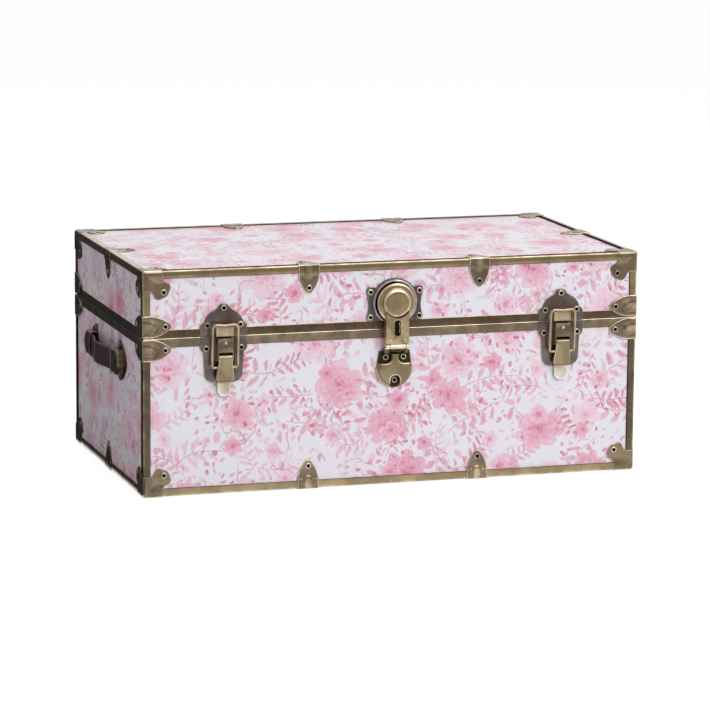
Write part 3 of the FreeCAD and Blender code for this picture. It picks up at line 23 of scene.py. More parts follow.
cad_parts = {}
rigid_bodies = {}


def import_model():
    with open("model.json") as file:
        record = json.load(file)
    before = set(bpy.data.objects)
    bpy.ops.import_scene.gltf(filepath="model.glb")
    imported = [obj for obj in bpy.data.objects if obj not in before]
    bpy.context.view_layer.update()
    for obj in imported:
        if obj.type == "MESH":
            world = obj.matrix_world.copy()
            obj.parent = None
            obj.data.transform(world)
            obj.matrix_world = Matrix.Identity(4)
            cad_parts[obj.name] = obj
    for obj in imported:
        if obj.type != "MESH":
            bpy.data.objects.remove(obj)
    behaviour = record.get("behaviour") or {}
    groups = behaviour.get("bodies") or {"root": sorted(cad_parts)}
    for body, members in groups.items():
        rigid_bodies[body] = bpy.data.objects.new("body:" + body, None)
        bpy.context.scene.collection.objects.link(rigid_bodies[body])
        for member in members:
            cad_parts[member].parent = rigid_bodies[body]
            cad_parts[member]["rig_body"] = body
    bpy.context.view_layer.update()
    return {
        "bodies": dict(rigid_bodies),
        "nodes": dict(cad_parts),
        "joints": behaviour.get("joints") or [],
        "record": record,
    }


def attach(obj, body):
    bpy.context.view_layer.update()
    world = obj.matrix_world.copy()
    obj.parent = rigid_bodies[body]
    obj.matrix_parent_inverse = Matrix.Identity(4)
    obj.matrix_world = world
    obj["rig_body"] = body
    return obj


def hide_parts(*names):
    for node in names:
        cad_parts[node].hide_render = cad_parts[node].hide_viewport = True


LOG = logging.getLogger("dorm_trunk")
MM = 0.001
CRISP = 38.0  # degrees past which an edge of folded sheet stays sharp
SMOOTH = 60.0  # the same for sheet that is pressed round
HALF_ROOT = math.sqrt(0.5)
Array = np.ndarray
Row = Sequence[float]
Rows = Sequence[Row]
Two = tuple[float, float]
Spot = tuple[float, float, float]
Colour = tuple[float, float, float, float]
Steps = tuple[Two, ...]
Profile = tuple[Spot, ...]
Pair = tuple[Array, Array]
Seat = tuple[Array, Spot]


def ink(code: str) -> Colour:
    """A colour written as six hex digits, as linear light.

    Args:
        code: Six hex digits, red first.

    Returns:
        Linear red, green, blue and an alpha of one.
    """
    levels = [int(code[start:start + 2], 16) / 255 for start in (0, 2, 4)]
    linear = [v / 12.92 if v <= 0.04045 else ((v + 0.055) / 1.055) ** 2.4 for v in levels]
    return (linear[0], linear[1], linear[2], 1.0)


class Wire:
    """One output socket of a node tree; arithmetic on it adds Math nodes."""

    def __init__(self, tree: NodeTree, socket: NodeSocket) -> None:
        """Keep the tree that the socket belongs to."""
        self.tree = tree
        self.socket = socket

    def beside(self, output: str) -> Wire:
        """Another output of the same node."""
        return Wire(self.tree, self.socket.node.outputs[output])

    def math(self, operation: str, *others: Wire | float) -> Wire:
        """A Math node whose first value is this wire."""
        return self.tree.math(operation, self, *others)

    def __add__(self, other: Wire | float) -> Wire:
        """Sum."""
        return self.math("ADD", other)

    __radd__ = __add__

    def __sub__(self, other: Wire | float) -> Wire:
        """Difference."""
        return self.math("SUBTRACT", other)

    def __rsub__(self, other: float) -> Wire:
        """Difference from a plain number."""
        return self.tree.math("SUBTRACT", other, self)

    def __mul__(self, other: Wire | float) -> Wire:
        """Product."""
        return self.math("MULTIPLY", other)

    __rmul__ = __mul__

    def __truediv__(self, other: Wire | float) -> Wire:
        """Quotient."""
        return self.math("DIVIDE", other)

    def __pow__(self, other: float) -> Wire:
        """Power."""
        return self.math("POWER", other)

    def smooth(self, low: float, high: float) -> Wire:
        """A soft step from nought at low to one at high."""
        inputs = {"Value": self, "From Min": low, "From Max": high}
        return self.tree.add("ShaderNodeMapRange", {"interpolation_type": "SMOOTHSTEP"}, inputs, "Result")


class NodeTree:
    """The node tree of a material or a world, filled by a single method for any node."""

    def __init__(self, owner: Material | World) -> None:
        """Empty the owner's tree.

        Args:
            owner: The material or the world.
        """
        owner.use_nodes = True
        self.nodes = owner.node_tree.nodes
        self.links = owner.node_tree.links
        self.nodes.clear()

    def add(
        self,
        kind: str,
        settings: dict[str, Any] | None = None,
        inputs: dict[str | int, Any] | None = None,
        output: str | int = 0,
    ) -> Wire:
        """Add any node.

        Args:
            kind: Type name of the node.
            settings: Its properties, set first.
            inputs: Values or wires of its sockets by name or number.
            output: The output socket to hand back.

        Returns:
            The wire of that output.
        """
        node = self.nodes.new(kind)
        for name, value in (settings or {}).items():
            setattr(node, name, value)
        for key, value in (inputs or {}).items():
            self.feed(node.inputs[key], value)
        return Wire(self, node.outputs[output])

    def feed(self, socket: NodeSocket, value: Any) -> None:
        """Link a wire to a socket, or set the socket's own value.

        Args:
            socket: The input socket.
            value: A wire, or the value to set.
        """
        if isinstance(value, Wire):
            self.links.new(value.socket, socket)
        else:
            socket.default_value = value

    def math(self, operation: str, *values: Wire | float) -> Wire:
        """A Math node on wires and numbers in order."""
        return self.add("ShaderNodeMath", {"operation": operation}, dict(enumerate(values)))

    def vector(self, operation: str, *values: Any) -> Wire:
        """A Vector Math node on wires and vectors in order."""
        return self.add("ShaderNodeVectorMath", {"operation": operation}, dict(enumerate(values)))

    def split(self, value: Wire) -> tuple[Wire, Wire, Wire]:
        """The three parts of a vector or colour."""
        x = self.add("ShaderNodeSeparateXYZ", None, {0: value}, "X")
        return x, x.beside("Y"), x.beside("Z")

    def mix(self, share: Wire | float, first: Any, second: Any) -> Wire:
        """A colour between two, for a share from nought, the first, to one, the second."""
        settings = {"data_type": "RGBA", "clamp_factor": True}
        return self.add("ShaderNodeMix", settings, {0: share, 6: first, 7: second}, 2)

    def place(self, source: str = "Object") -> Wire:
        """The point on the surface, in metres of the object or of its own map."""
        return self.add("ShaderNodeTexCoord", None, None, source)

    def stretched(self, place: Wire, scale: Spot) -> Wire:
        """The point scaled along each axis."""
        return self.add("ShaderNodeMapping", None, {"Vector": place, "Scale": scale})

    def noise(self, place: Wire, scale: float, detail: float = 2.0, rough: float = 0.5) -> Wire:
        """Soft random clouds about one half."""
        inputs = {"Vector": place, "Scale": scale, "Detail": detail, "Roughness": rough}
        return self.add("ShaderNodeTexNoise", None, inputs, "Fac")

    def bump(self, height: Wire, strength: float, distance: float) -> Wire:
        """A Bump node's normal for a height in shares of a distance in metres."""
        inputs = {"Height": height, "Strength": strength, "Distance": distance}
        return self.add("ShaderNodeBump", None, inputs, "Normal")

    def wear_and_shading(self) -> Wire:
        """The rubbing and the painted light and shade that are kept with the mesh."""
        return self.add("ShaderNodeAttribute", {"attribute_name": "wear_and_shading"}, None, "Fac")

    def seen(self) -> Wire:
        """Tell rays of the camera, of mirrors and of glass from those that light.

        Returns:
            One for a ray that shows something, nought for one that lights.
        """
        camera = self.add("ShaderNodeLightPath", None, None, "Is Camera Ray")
        mirror = camera.math("MAXIMUM", camera.beside("Is Glossy Ray"))
        return mirror.math("MAXIMUM", camera.beside("Is Transmission Ray"))


class FinishTree(NodeTree):
    """The node tree of one finish, with its main shader."""

    def __init__(self, name: str) -> None:
        """Start an empty material with its output and main shader.

        Args:
            name: Name of the material.
        """
        self.material = bpy.data.materials.new(name)
        super().__init__(self.material)
        self.shader = self.nodes.new("ShaderNodeBsdfPrincipled")
        self.out = self.nodes.new("ShaderNodeOutputMaterial")
        self.links.new(self.shader.outputs["BSDF"], self.out.inputs["Surface"])

    def done(self, **sockets: Any) -> Material:
        """Feed the main shader and hand the material back.

        Args:
            **sockets: Values or wires by socket name, with _ for a space.

        Returns:
            The finished material.
        """
        for name, value in sockets.items():
            self.feed(self.shader.inputs[name.replace("_", " ")], value)
        return self.material


@dataclass(frozen=True)
class AntiqueBrass:
    """Lacquered brass plate with a brown patina, lightened on its edges by rubbing and painted highlights,
    and darkened by painted shade in its hollows and under parts.
    """

    name: str
    tone: str
    shade: str
    # Colour of rubbing and of painted highlights.
    rub_highlight: str
    roughness: float = 0.3
    cloud_scale: float = 34.0
    grain_scale: float = 900.0
    # Colour of the painted shade.
    dark: str = "1b1510"
    lacquer: float = 0.8
    lacquer_roughness: float = 0.2

    def build(self) -> Material:
        """Patina in clouds, a fine speckle, faint hairlines, edges lightened by rubbing and painted
        highlights, and painted shade.

        Returns:
            The material; its lacquer is missing where shade is painted.
        """
        tree = FinishTree(self.name)
        place = tree.place()
        cloud = tree.noise(place, self.cloud_scale, 5.0, 0.62).smooth(0.32, 0.68)
        grain = tree.noise(place, self.grain_scale, 2.0, 0.6)
        hair = tree.noise(tree.stretched(place, (60.0, 60.0, 1100.0)), 1.0, 2.0)
        worn_and_shaded = tree.wear_and_shading()
        # Bright tone where rubbing shows and where highlights are painted; painted shade where the value
        # is below nought.
        rub_and_shading = (worn_and_shaded * (0.65 + 0.7 * cloud)).smooth(0.15, 0.95)
        painted_shade = (worn_and_shaded * -1.0).smooth(0.1, 0.9)
        mottle = (cloud * 0.75 + grain * 0.5 - 0.12).smooth(0.1, 0.9)
        patina = tree.mix(mottle, ink(self.shade), ink(self.tone))
        colour = tree.mix(rub_and_shading, patina, ink(self.rub_highlight))
        colour = tree.mix(painted_shade * 0.88, colour, ink(self.dark))
        rough = self.roughness + 0.1 * grain + 0.08 * (1 - cloud) + 0.2 * painted_shade - 0.06 * rub_and_shading
        normal = tree.bump(grain * 0.6 + hair * 0.4, 0.22, 0.00012)
        # The lacquer is taken away where shade is painted, so that those places mirror less.
        coat = self.lacquer - self.lacquer * painted_shade
        tree.done(Metallic=1.0, Coat_Roughness=self.lacquer_roughness)
        return tree.done(Base_Color=colour, Roughness=rough, Coat_Weight=coat, Normal=normal)


@dataclass(frozen=True)
class ShadeFill:
    """Painted shade: near black for the bores of rivets, dark lines along the top strips and the sheet
    behind the hasp's slot.
    """

    name: str = "shade_fill_finish"
    tone: str = "14100d"
    shade_mottle: str = "2a211b"

    def build(self) -> Material:
        """Almost black, with a faint lighter mottle.

        Returns:
            The material, which mirrors nothing.
        """
        tree = FinishTree(self.name)
        cloud = tree.noise(tree.place(), 400.0)
        colour = tree.mix(cloud, ink(self.tone), ink(self.shade_mottle))
        return tree.done(Base_Color=colour, Roughness=0.8, Specular_IOR_Level=0.0)


@dataclass(frozen=True)
class StrapLeather:
    """Dark plum brown leather with a fine pebble."""

    name: str = "leather_finish"
    tone: str = "4a3a3d"
    shade: str = "33262a"
    # Colour of rubbing and of the painted highlight along the strap's edges.
    rub_and_shading: str = "75605c"

    def build(self) -> Material:
        """Cells of pebble with creases between them, and clouds of wax.

        Returns:
            The material.
        """
        tree = FinishTree(self.name)
        place = tree.place()
        inputs = {"Vector": place, "Scale": 620.0}
        pebble = tree.add("ShaderNodeTexVoronoi", {"feature": "DISTANCE_TO_EDGE"}, inputs, "Distance")
        crease = pebble.smooth(0.0, 0.16)
        cloud = tree.noise(place, 45.0, 4.0)
        worn_and_shaded = tree.wear_and_shading()
        waxed = (cloud * 0.7 + crease * 0.3).smooth(0.25, 0.75)
        colour = tree.mix(waxed, ink(self.shade), ink(self.tone))
        # Lighter along the strap's edges: rubbing and a painted highlight.
        colour = tree.mix(worn_and_shaded * 0.5, colour, ink(self.rub_and_shading))
        rough = 0.62 - 0.16 * crease - 0.1 * cloud
        normal = tree.bump(crease, 0.35, 0.0003)
        return tree.done(Base_Color=colour, Roughness=rough, Normal=normal)


@dataclass(frozen=True)
class LiningPaper:
    """Matt paper inside the box, with a faint fibre."""

    name: str = "paper_finish"
    tone: str = "e6dbe0"
    shade: str = "d9ccd2"
    thread: str = "c9b7c0"

    def build(self) -> Material:
        """Long fibres over a pale rose ground.

        Returns:
            The material.
        """
        tree = FinishTree(self.name)
        place = tree.place()
        fibre = tree.noise(tree.stretched(place, (90.0, 900.0, 900.0)), 1.0, 3.0)
        cloud = tree.noise(place, 14.0, 3.0)
        colour = tree.mix(cloud, ink(self.shade), ink(self.tone))
        colour = tree.mix(fibre.smooth(0.55, 0.8) * 0.4, colour, ink(self.thread))
        normal = tree.bump(fibre, 0.2, 0.0001)
        return tree.done(Base_Color=colour, Roughness=0.82, Normal=normal)


@dataclass(frozen=True)
class Plywood:
    """Plain poplar plywood under the covering."""

    name: str = "ply_finish"
    tone: str = "d9bd92"
    shade: str = "b98f60"

    def build(self) -> Material:
        """Stretched bands of grain in two straw tones.

        Returns:
            The material.
        """
        tree = FinishTree(self.name)
        place = tree.stretched(tree.place(), (6.0, 80.0, 80.0))
        band = tree.noise(place, 1.0, 6.0, 0.6)
        colour = tree.mix(band.smooth(0.3, 0.7), ink(self.shade), ink(self.tone))
        return tree.done(Base_Color=colour, Roughness=0.6 + 0.2 * band)


@dataclass(frozen=True)
class Motif:
    """One layer of the print: width of its cells, reach of a motif, its form, its shift and its cover."""

    pitch: float
    reach: float
    form: Any
    move: float
    cover: float


@dataclass(frozen=True)
class Painter:
    """Paints scattered motifs on a sheet, by the point of the sheet in metres."""

    tree: FinishTree
    place: Wire
    shift: float = 0.618
    loose: float = 0.75

    def cells(self, motif: Motif) -> tuple[Wire, ...]:
        """Scatter one motif in each cell of a loose grid.

        Args:
            motif: The layer, shifted so that layers differ.

        Returns:
            The distance across and up from the cell's own middle, and three random numbers of the cell.
        """
        tree = self.tree
        moved = tree.vector("ADD", self.place, (motif.move, motif.move * self.shift, 0.0))
        settings = {"voronoi_dimensions": "2D", "feature": "F1"}
        inputs = {"Vector": moved, "Scale": 1 / motif.pitch, "Randomness": self.loose}
        middle = tree.add("ShaderNodeTexVoronoi", settings, inputs, "Position")
        across, up, _ = tree.split(tree.vector("SUBTRACT", moved, middle))
        return across, up, *tree.split(middle.beside("Color"))

    def swung(self, across: Wire, up: Wire, turn: Wire) -> tuple[Wire, Wire]:
        """A distance across and up, turned by a share of a full turn.

        Args:
            across: Distance across.
            up: Distance up.
            turn: Share of a full turn.

        Returns:
            The distance along the turned line and off it.
        """
        cosine = (turn * math.tau).math("COSINE")
        sine = (turn * math.tau).math("SINE")
        return across * cosine + up * sine, up * cosine - across * sine

    def blossoms(self, motif: Motif) -> tuple[Wire, Wire]:
        """Open blossoms of nested petal rings, whose edges follow the cosine of the angle round the heart.

        Args:
            motif: The layer; its form is the petals and share of the reach of each ring, outermost first.

        Returns:
            Where the paint lies and how strong it is.
        """
        across, up, size, turn, tint = self.cells(motif)
        reach = motif.reach
        far = (across * across + up * up).math("SQRT") / (size * (0.5 * reach) + 0.72 * reach)
        angle = up.math("ARCTAN2", across) + turn * math.tau
        laid = 0.0
        strength = 0.0
        for number, (petals, share) in enumerate(motif.form):
            lobe = (angle * (petals / 2) + 1.3 * number).math("COSINE").math("ABSOLUTE")
            depth = far / (lobe ** 0.5 * (0.4 * share) + 0.6 * share)
            inside = (1 - depth).smooth(0.0, 0.09)
            crease = 1 - lobe.smooth(0.0, 0.34)
            rim = depth.smooth(0.84, 1.0)
            shade = 0.1 + 0.5 * (1 - depth.smooth(0.2, 0.9)) + 0.34 * crease + 0.22 * rim + 0.07 * number
            strength = (shade - strength) * inside + strength
            laid = inside.math("MAXIMUM", laid)
        return laid, strength + 0.45 * (tint - 0.45)

    def sprays(self, motif: Motif) -> tuple[Wire, Wire]:
        """Leaf sprays: leaning pointed leaves repeated on both sides of a bowed stem.

        Args:
            motif: The layer; its reach is half the stem and its form the length of a leaf.

        Returns:
            Where the paint lies and how strong it is.
        """
        across, up, bow, turn, tint = self.cells(motif)
        reach, leaf = motif.reach, motif.form
        along, off = self.swung(across, up, turn)
        off = off + along * along * ((bow - 0.5) * (1.3 / reach))
        side = off.math("ABSOLUTE")
        taper = 1 - (along / reach) ** 2
        gap = leaf * 0.74
        beat = (along / gap + off.math("SIGN") * 0.2).math("FRACT") - 0.5
        spot = beat * gap - side * 0.5 + leaf * 0.2
        wide = (spot / (leaf * 0.26)).math("ABSOLUTE")
        tall = (side - leaf * 0.48) / (leaf * 0.5)
        leaves = (taper - wide - tall * tall).smooth(0.0, 0.22)
        stem = (1 - side / (leaf * 0.06)).smooth(0.0, 0.6) * taper.smooth(0.0, 0.2)
        vein = 1 - wide.smooth(0.0, 0.2)
        strength = 0.3 + 0.3 * vein + 0.4 * stem + 0.75 * (tint - 0.45) + 0.15 * (1 - tall)
        return leaves.math("MAXIMUM", stem * 0.85), strength

    def dabs(self, motif: Motif) -> tuple[Wire, Wire]:
        """Single brush dabs: ellipses turned at random, gathered by a slow noise.

        Args:
            motif: The layer; its reach is half a dab and its form the length over the width.

        Returns:
            Where the paint lies and how strong it is.
        """
        across, up, size, turn, tint = self.cells(motif)
        reach, slim = motif.reach, motif.form
        along, off = self.swung(across, up, turn)
        along, off = along / reach, off * (slim / reach)
        shifted = self.tree.vector("ADD", self.place, (motif.move, 0.0, 0.0))
        crowd = self.tree.noise(shifted, 13.0, 2.0).smooth(0.42, 0.56)
        laid = (0.45 + 0.6 * size - (along * along + off * off).math("SQRT")).smooth(0.0, 0.2) * crowd
        return laid, 0.25 + 0.8 * tint


@dataclass(frozen=True)
class FloralPrint:
    """Covering paper with a loose watercolour garden: dahlias, windflowers, leaf sprays and dabs."""

    name: str = "print_finish"
    ground: str = "edecf3"
    wash: str = "f0e7ef"
    pale: str = "f2d6e3"
    rose: str = "e9a0bb"
    deep: str = "d5618c"
    line: str = "b35f80"
    gloss: float = 0.5
    gloss_roughness: float = 0.34
    sway: float = 0.034
    shake: float = 0.0065

    def build(self) -> Material:
        """Lay the layers over a cool white ground, each in its own dilution of three pinks.

        Returns:
            The material.
        """
        tree = FinishTree(self.name)
        sheet = tree.place("UV")
        place = sheet
        clouds = [tree.noise(sheet, 11.0, 2.0), tree.noise(sheet, 70.0, 3.0)]
        for cloud, reach in zip(clouds, (self.sway, self.shake)):
            push = tree.vector("SUBTRACT", cloud.beside("Color"), (0.5, 0.5, 0.5))
            push = tree.add("ShaderNodeVectorMath", {"operation": "SCALE"}, {0: push, "Scale": reach})
            place = tree.vector("ADD", place, push)
        drift = tree.noise(sheet, 15.0, 4.0)
        pigment = tree.noise(sheet, 95.0, 5.0, 0.68)
        colour = tree.mix(drift.smooth(0.46, 0.6) * 0.6, ink(self.ground), ink(self.wash))
        painter = Painter(tree, place)
        dahlia = ((7, 1.0), (6, 0.72), (5, 0.46), (5, 0.24))
        windflower = ((6, 1.0), (5, 0.55))
        layers = [
            (painter.sprays, Motif(0.098, 0.05, 0.024, 0.37, 0.6)),
            (painter.dabs, Motif(0.021, 0.011, 2.4, 3.11, 0.6)),
            (painter.sprays, Motif(0.081, 0.043, 0.016, 1.91, 0.85)),
            (painter.blossoms, Motif(0.118, 0.037, dahlia, 0.83, 0.9)),
            (painter.blossoms, Motif(0.086, 0.017, windflower, 2.57, 0.92)),
            (painter.dabs, Motif(0.0155, 0.0055, 1.7, 0.53, 0.85)),
        ]
        for paint_motif, motif in layers:
            laid, strength = paint_motif(motif)
            power = strength * (0.45 + 1.1 * pigment)
            faint = tree.mix(power.smooth(0.05, 0.5), ink(self.pale), ink(self.rose))
            paint = tree.mix(power.smooth(0.45, 0.95), faint, ink(self.deep))
            colour = tree.mix(laid * (motif.cover * (0.45 + 0.95 * pigment)), colour, paint)
        stems = tree.noise(place, 13.0, 1.0)
        vine = (1 - (stems - 0.5).math("ABSOLUTE") * 90.0).smooth(0.2, 0.9) * drift.smooth(0.5, 0.58)
        colour = tree.mix(vine * 0.55, colour, ink(self.line))
        sheen = tree.noise(sheet, 220.0, 2.0)
        normal = tree.bump(sheen, 0.05, 0.0001)
        tree.done(Coat_Weight=self.gloss, Coat_Roughness=self.gloss_roughness)
        return tree.done(Base_Color=colour, Roughness=0.34 + 0.12 * sheen, Normal=normal)


class Finish(Enum):
    """The trunk's finishes."""

    EDGE = AntiqueBrass("edge_finish", "a5916a", "887554", "d9c9a5", 0.28)
    RIM = AntiqueBrass("rim_finish", "87745b", "6c5b46", "e2d3b5", 0.28)
    # A darker copy of the rim brass: painted shade on the lid's rims.
    LID_RIM = AntiqueBrass("lid_rim_shaded_finish", "74604c", "5c4a3a", "cdb994", 0.3)
    CAP = AntiqueBrass("cap_finish", "8d7a60", "6d5d48", "d6c5a6", 0.3)
    PLATE = AntiqueBrass("plate_finish", "70635a", "564b43", "c2b29c", 0.34)
    # A lighter copy of the edge brass: painted light from the floor on the bottom strips.
    FOOT = AntiqueBrass("floor_lit_edge_finish", "a8956f", "8c7a59", "e2d4b2", 0.28)
    # A darker copy of the edge brass: painted shade on the base's posts.
    POST = AntiqueBrass("shaded_post_finish", "625138", "4e402d", "b3a17b", 0.28)
    HOOD = AntiqueBrass("hood_finish", "75604c", "5a4939", "c9b594", 0.32)
    KEEPER = AntiqueBrass("keeper_finish", "bda988", "a08d6f", "f0e6d1", 0.3)
    RING = AntiqueBrass("ring_finish", "645a5b", "4b4344", "cabfb4", 0.32)
    LEVER = AntiqueBrass("lever_finish", "9a8864", "7f6e4f", "e3d6b6", 0.28)
    HEAD = AntiqueBrass("head_finish", "b09b74", "8f7c5a", "efe3c9", 0.28)
    BRIGHT = AntiqueBrass("bright_finish", "ac9a74", "8b7955", "eee3c8", 0.26)
    # A light copy of the brass: the tab, a painted highlight on the bracket's rounded edges and a painted
    # reflection along the left top strip.
    PALE = AntiqueBrass("pale_finish", "cdc1aa", "b1a48b", "f6f0e2", 0.32)
    RIVET = AntiqueBrass("rivet_finish", "b0a087", "7d6f5b", "f2e9d6", 0.24)
    HOLLOW = ShadeFill()
    LEATHER = StrapLeather()
    PAPER = LiningPaper()
    PLY = Plywood()
    PRINT = FloralPrint()

    @property
    def material(self) -> Material:
        """The built material, made at its first use."""
        return bpy.data.materials.get(self.value.name) or self.value.build()


def turned(axis: Row, degrees: float) -> Array:
    """The rotation matrix of a turn about an axis through the origin."""
    return np.array(Matrix.Rotation(math.radians(degrees), 3, Vector(axis)))


STRAIGHT = np.eye(3)
QUARTERS = [turned((0, 0, 1), 90 * turn) for turn in range(4)]
UPSIDE_DOWN = turned((1, 1, 0), 180)
FRONT_TOP = turned((0, 1, 0), 90)
FRONT_BOTTOM = turned((0, 1, 0), -90)
LEFT_TOP = turned((1, 0, 0), -90)
LEFT_BOTTOM = turned((1, 0, 0), 90)
BACK = QUARTERS[2]
LEFT = QUARTERS[3]
RIGHT = QUARTERS[1]


def soft_step(value: Array, low: float, high: float) -> Array:
    """A smooth rise from nought at low to one at high: three squares less two cubes."""
    share = np.clip((value - low) / (high - low), 0.0, 1.0)
    return share * share * (3 - 2 * share)


def grid_faces(rows: int, columns: int, ring: bool) -> Array:
    """Quads between the neighbours of a grid of points.

    Args:
        rows: Rows of points.
        columns: Points in a row.
        ring: Whether the last point of a row joins the first.

    Returns:
        Four point numbers for each quad.
    """
    row = np.arange(rows - 1)[:, None] * columns
    here = np.arange(columns if ring else columns - 1)[None, :]
    after = (here + 1) % columns
    corners = [row + here, row + after, row + columns + after, row + columns + here]
    return np.stack(np.broadcast_arrays(*corners), axis=-1).reshape(-1, 4)


@dataclass
class Shape:
    """Points, quads, wear and slot of a surface before it becomes a mesh."""

    points: Array
    quads: Array
    wear_and_shading: Array
    slots: Array

    @classmethod
    def grid(cls, points: Array, ring: bool, wear_and_shading: Array | float = 0.0) -> Shape:
        """The surface through a grid of points.

        Args:
            points: Rows by columns by three.
            ring: Whether each row closes.
            wear_and_shading: Rubbing with painted light and shade, from minus one for painted shade to one
                for bright metal and painted highlights, for each point or for all.

        Returns:
            The surface.
        """
        rows, columns = points.shape[:2]
        quads = grid_faces(rows, columns, ring)
        rub_and_shading = np.broadcast_to(np.asarray(wear_and_shading, float), (rows, columns)).reshape(-1)
        return cls(points.reshape(-1, 3), quads, rub_and_shading.copy(), np.zeros(len(quads), int))

    @classmethod
    def closed(cls, points: Array, wear_and_shading: Array | float = 0.0) -> Shape:
        """A closed body through rows of rings, each end drawn together to its middle.

        Args:
            points: Rows by columns by three, each row a ring.
            wear_and_shading: Rubbing with painted light and shade for each point, for each column or for
                all.

        Returns:
            The closed surface.
        """
        ends = [np.broadcast_to(points[spot].mean(axis=0), points[spot].shape)[None] for spot in (0, -1)]
        rub_and_shading = np.broadcast_to(np.asarray(wear_and_shading, float), points.shape[:2])
        rub_and_shading = np.concatenate([rub_and_shading[:1], rub_and_shading, rub_and_shading[-1:]])
        return cls.grid(np.concatenate([ends[0], points, ends[1]]), True, rub_and_shading)

    @classmethod
    def joined(cls, shapes: Sequence[Shape]) -> Shape:
        """Several surfaces as one.

        Args:
            shapes: The surfaces.

        Returns:
            The joined surface.
        """
        starts = np.cumsum([0] + [len(shape.points) for shape in shapes[:-1]])
        return cls(
            np.concatenate([shape.points for shape in shapes]),
            np.concatenate([shape.quads + start for shape, start in zip(shapes, starts)]),
            np.concatenate([shape.wear_and_shading for shape in shapes]),
            np.concatenate([shape.slots for shape in shapes]),
        )

    def moved(self, rotation: Array, offset: Row) -> Shape:
        """The surface turned and then shifted."""
        points = self.points @ rotation.T + np.asarray(offset, float)
        return Shape(points, self.quads, self.wear_and_shading, self.slots)

    def along_x(self) -> Shape:
        """A surface that stood along Z, laid along X."""
        return Shape(self.points[:, [2, 0, 1]], self.quads, self.wear_and_shading, self.slots)

    def in_slot(self, slot: int) -> Shape:
        """The surface with all its faces in one slot."""
        return Shape(self.points, self.quads, self.wear_and_shading, np.full(len(self.quads), slot))

    def mesh_object(self, name: str, finishes: Sequence[Finish], sharp: float) -> Object:
        """Write the surface as a welded mesh whose faces point outwards.

        Args:
            name: Name of the piece.
            finishes: Finish of each slot.
            sharp: Angle in degrees past which an edge stays crisp.

        Returns:
            The new object at the origin.
        """
        mesh = bpy.data.meshes.new(name)
        mesh.from_pydata((self.points * MM).tolist(), [], self.quads.tolist())
        rub_and_shading = mesh.attributes.new("wear_and_shading", "FLOAT", "POINT")
        rub_and_shading.data.foreach_set("value", self.wear_and_shading.astype(np.float32))
        mesh.polygons.foreach_set("material_index", self.slots.astype(np.int32))
        weld(mesh)
        for finish in finishes:
            mesh.materials.append(finish.material)
        mesh.shade_smooth()
        mesh.set_sharp_from_angle(angle=math.radians(sharp))
        return linked(bpy.data.objects.new(name, mesh))


def weld(mesh: Mesh) -> None:
    """Merge doubled points, drop collapsed faces and turn the faces outwards.

    Args:
        mesh: The mesh to change.
    """
    work = bmesh.new()
    work.from_mesh(mesh)
    bmesh.ops.remove_doubles(work, verts=work.verts, dist=1e-6)
    bmesh.ops.dissolve_degenerate(work, edges=work.edges, dist=1e-7)
    bmesh.ops.recalc_face_normals(work, faces=work.faces)
    work.to_mesh(mesh)
    work.free()


def linked(thing: Object) -> Object:
    """Put an object into the scene."""
    bpy.context.scene.collection.objects.link(thing)
    return thing


def arc(start: Array, middle: Array, stop: Array, steps: int) -> Array:
    """Points of the circle through three points, without the last one.

    Args:
        start: First point.
        middle: A point on the way.
        stop: Last point.
        steps: Number of points.

    Returns:
        The points in order.
    """
    system = 2 * np.array([middle - start, stop - start])
    right = np.array([middle @ middle - start @ start, stop @ stop - start @ start])
    centre = np.linalg.solve(system, right)
    first, half, last = (math.atan2(*(point - centre)[::-1]) for point in (start, middle, stop))
    span = (last - first) % math.tau
    if (half - first) % math.tau > span:
        span -= math.tau
    angles = first + span * np.arange(steps) / steps
    radius = np.linalg.norm(start - centre)
    return centre + radius * np.stack([np.cos(angles), np.sin(angles)], axis=1)


def traced(path: Rows, pitch: float, closed: bool = True) -> Array:
    """Sample an outline of straight lines (x, z) and arcs (through x, z, to x, z).

    Args:
        path: The steps; the first is the starting point, which a closed outline reaches again.
        pitch: Rough distance between points.
        closed: Whether the outline returns to its start.

    Returns:
        The points in order.
    """
    runs = []
    here = np.array(path[0][-2:], float)
    for step in list(path[1:]) + ([path[0]] if closed else []):
        there = np.array(step[-2:], float)
        count = max(1, math.ceil(np.linalg.norm(there - here) / pitch))
        if len(step) == 4:
            runs.append(arc(here, np.array(step[:2], float), there, max(6, count)))
        else:
            runs.append(here + (there - here) * (np.arange(count) / count)[:, None])
        here = there
    if not closed:
        runs.append(here[None, :])
    return np.concatenate(runs)


def mirrored(half: Rows) -> list[tuple[float, ...]]:
    """Complete a symmetric outline from its right half.

    Args:
        half: Steps from the bottom middle to the top middle.

    Returns:
        The steps of the whole outline.
    """
    left = []
    for index in range(len(half) - 1, 0, -1):
        numbers = tuple(half[index][:-2]) + tuple(half[index - 1][-2:])
        left.append(tuple(-n if spot % 2 == 0 else n for spot, n in enumerate(numbers)))
    return left[-1:] + [tuple(step) for step in half[1:]] + left[:-1]


def fan(outline: Array, heart: Row, insets: Row, rows: int) -> Pair:
    """Rows of points that step in from an outline and then run straight to a heart.

    Args:
        outline: Points of the edge.
        heart: Point where all the lines meet.
        insets: Distances from the edge of the first rows.
        rows: Rows from the last inset to the heart.

    Returns:
        The points, rows by columns by two, and each one's distance from the edge along its line.
    """
    line = np.asarray(heart, float) - outline
    reach = np.linalg.norm(line, axis=1)
    near = np.asarray(insets, float)[:, None] * np.ones_like(reach)
    last = near[-1:]
    rest = last + (reach - last) * (np.arange(1, rows + 1) / rows)[:, None]
    depth = np.concatenate([near, rest])
    return outline + line * (depth / reach)[..., None], depth


def circle(steps: int) -> Pair:
    """Cosine and sine of equal steps round a circle."""
    angle = math.tau * np.arange(steps) / steps
    return np.cos(angle), np.sin(angle)


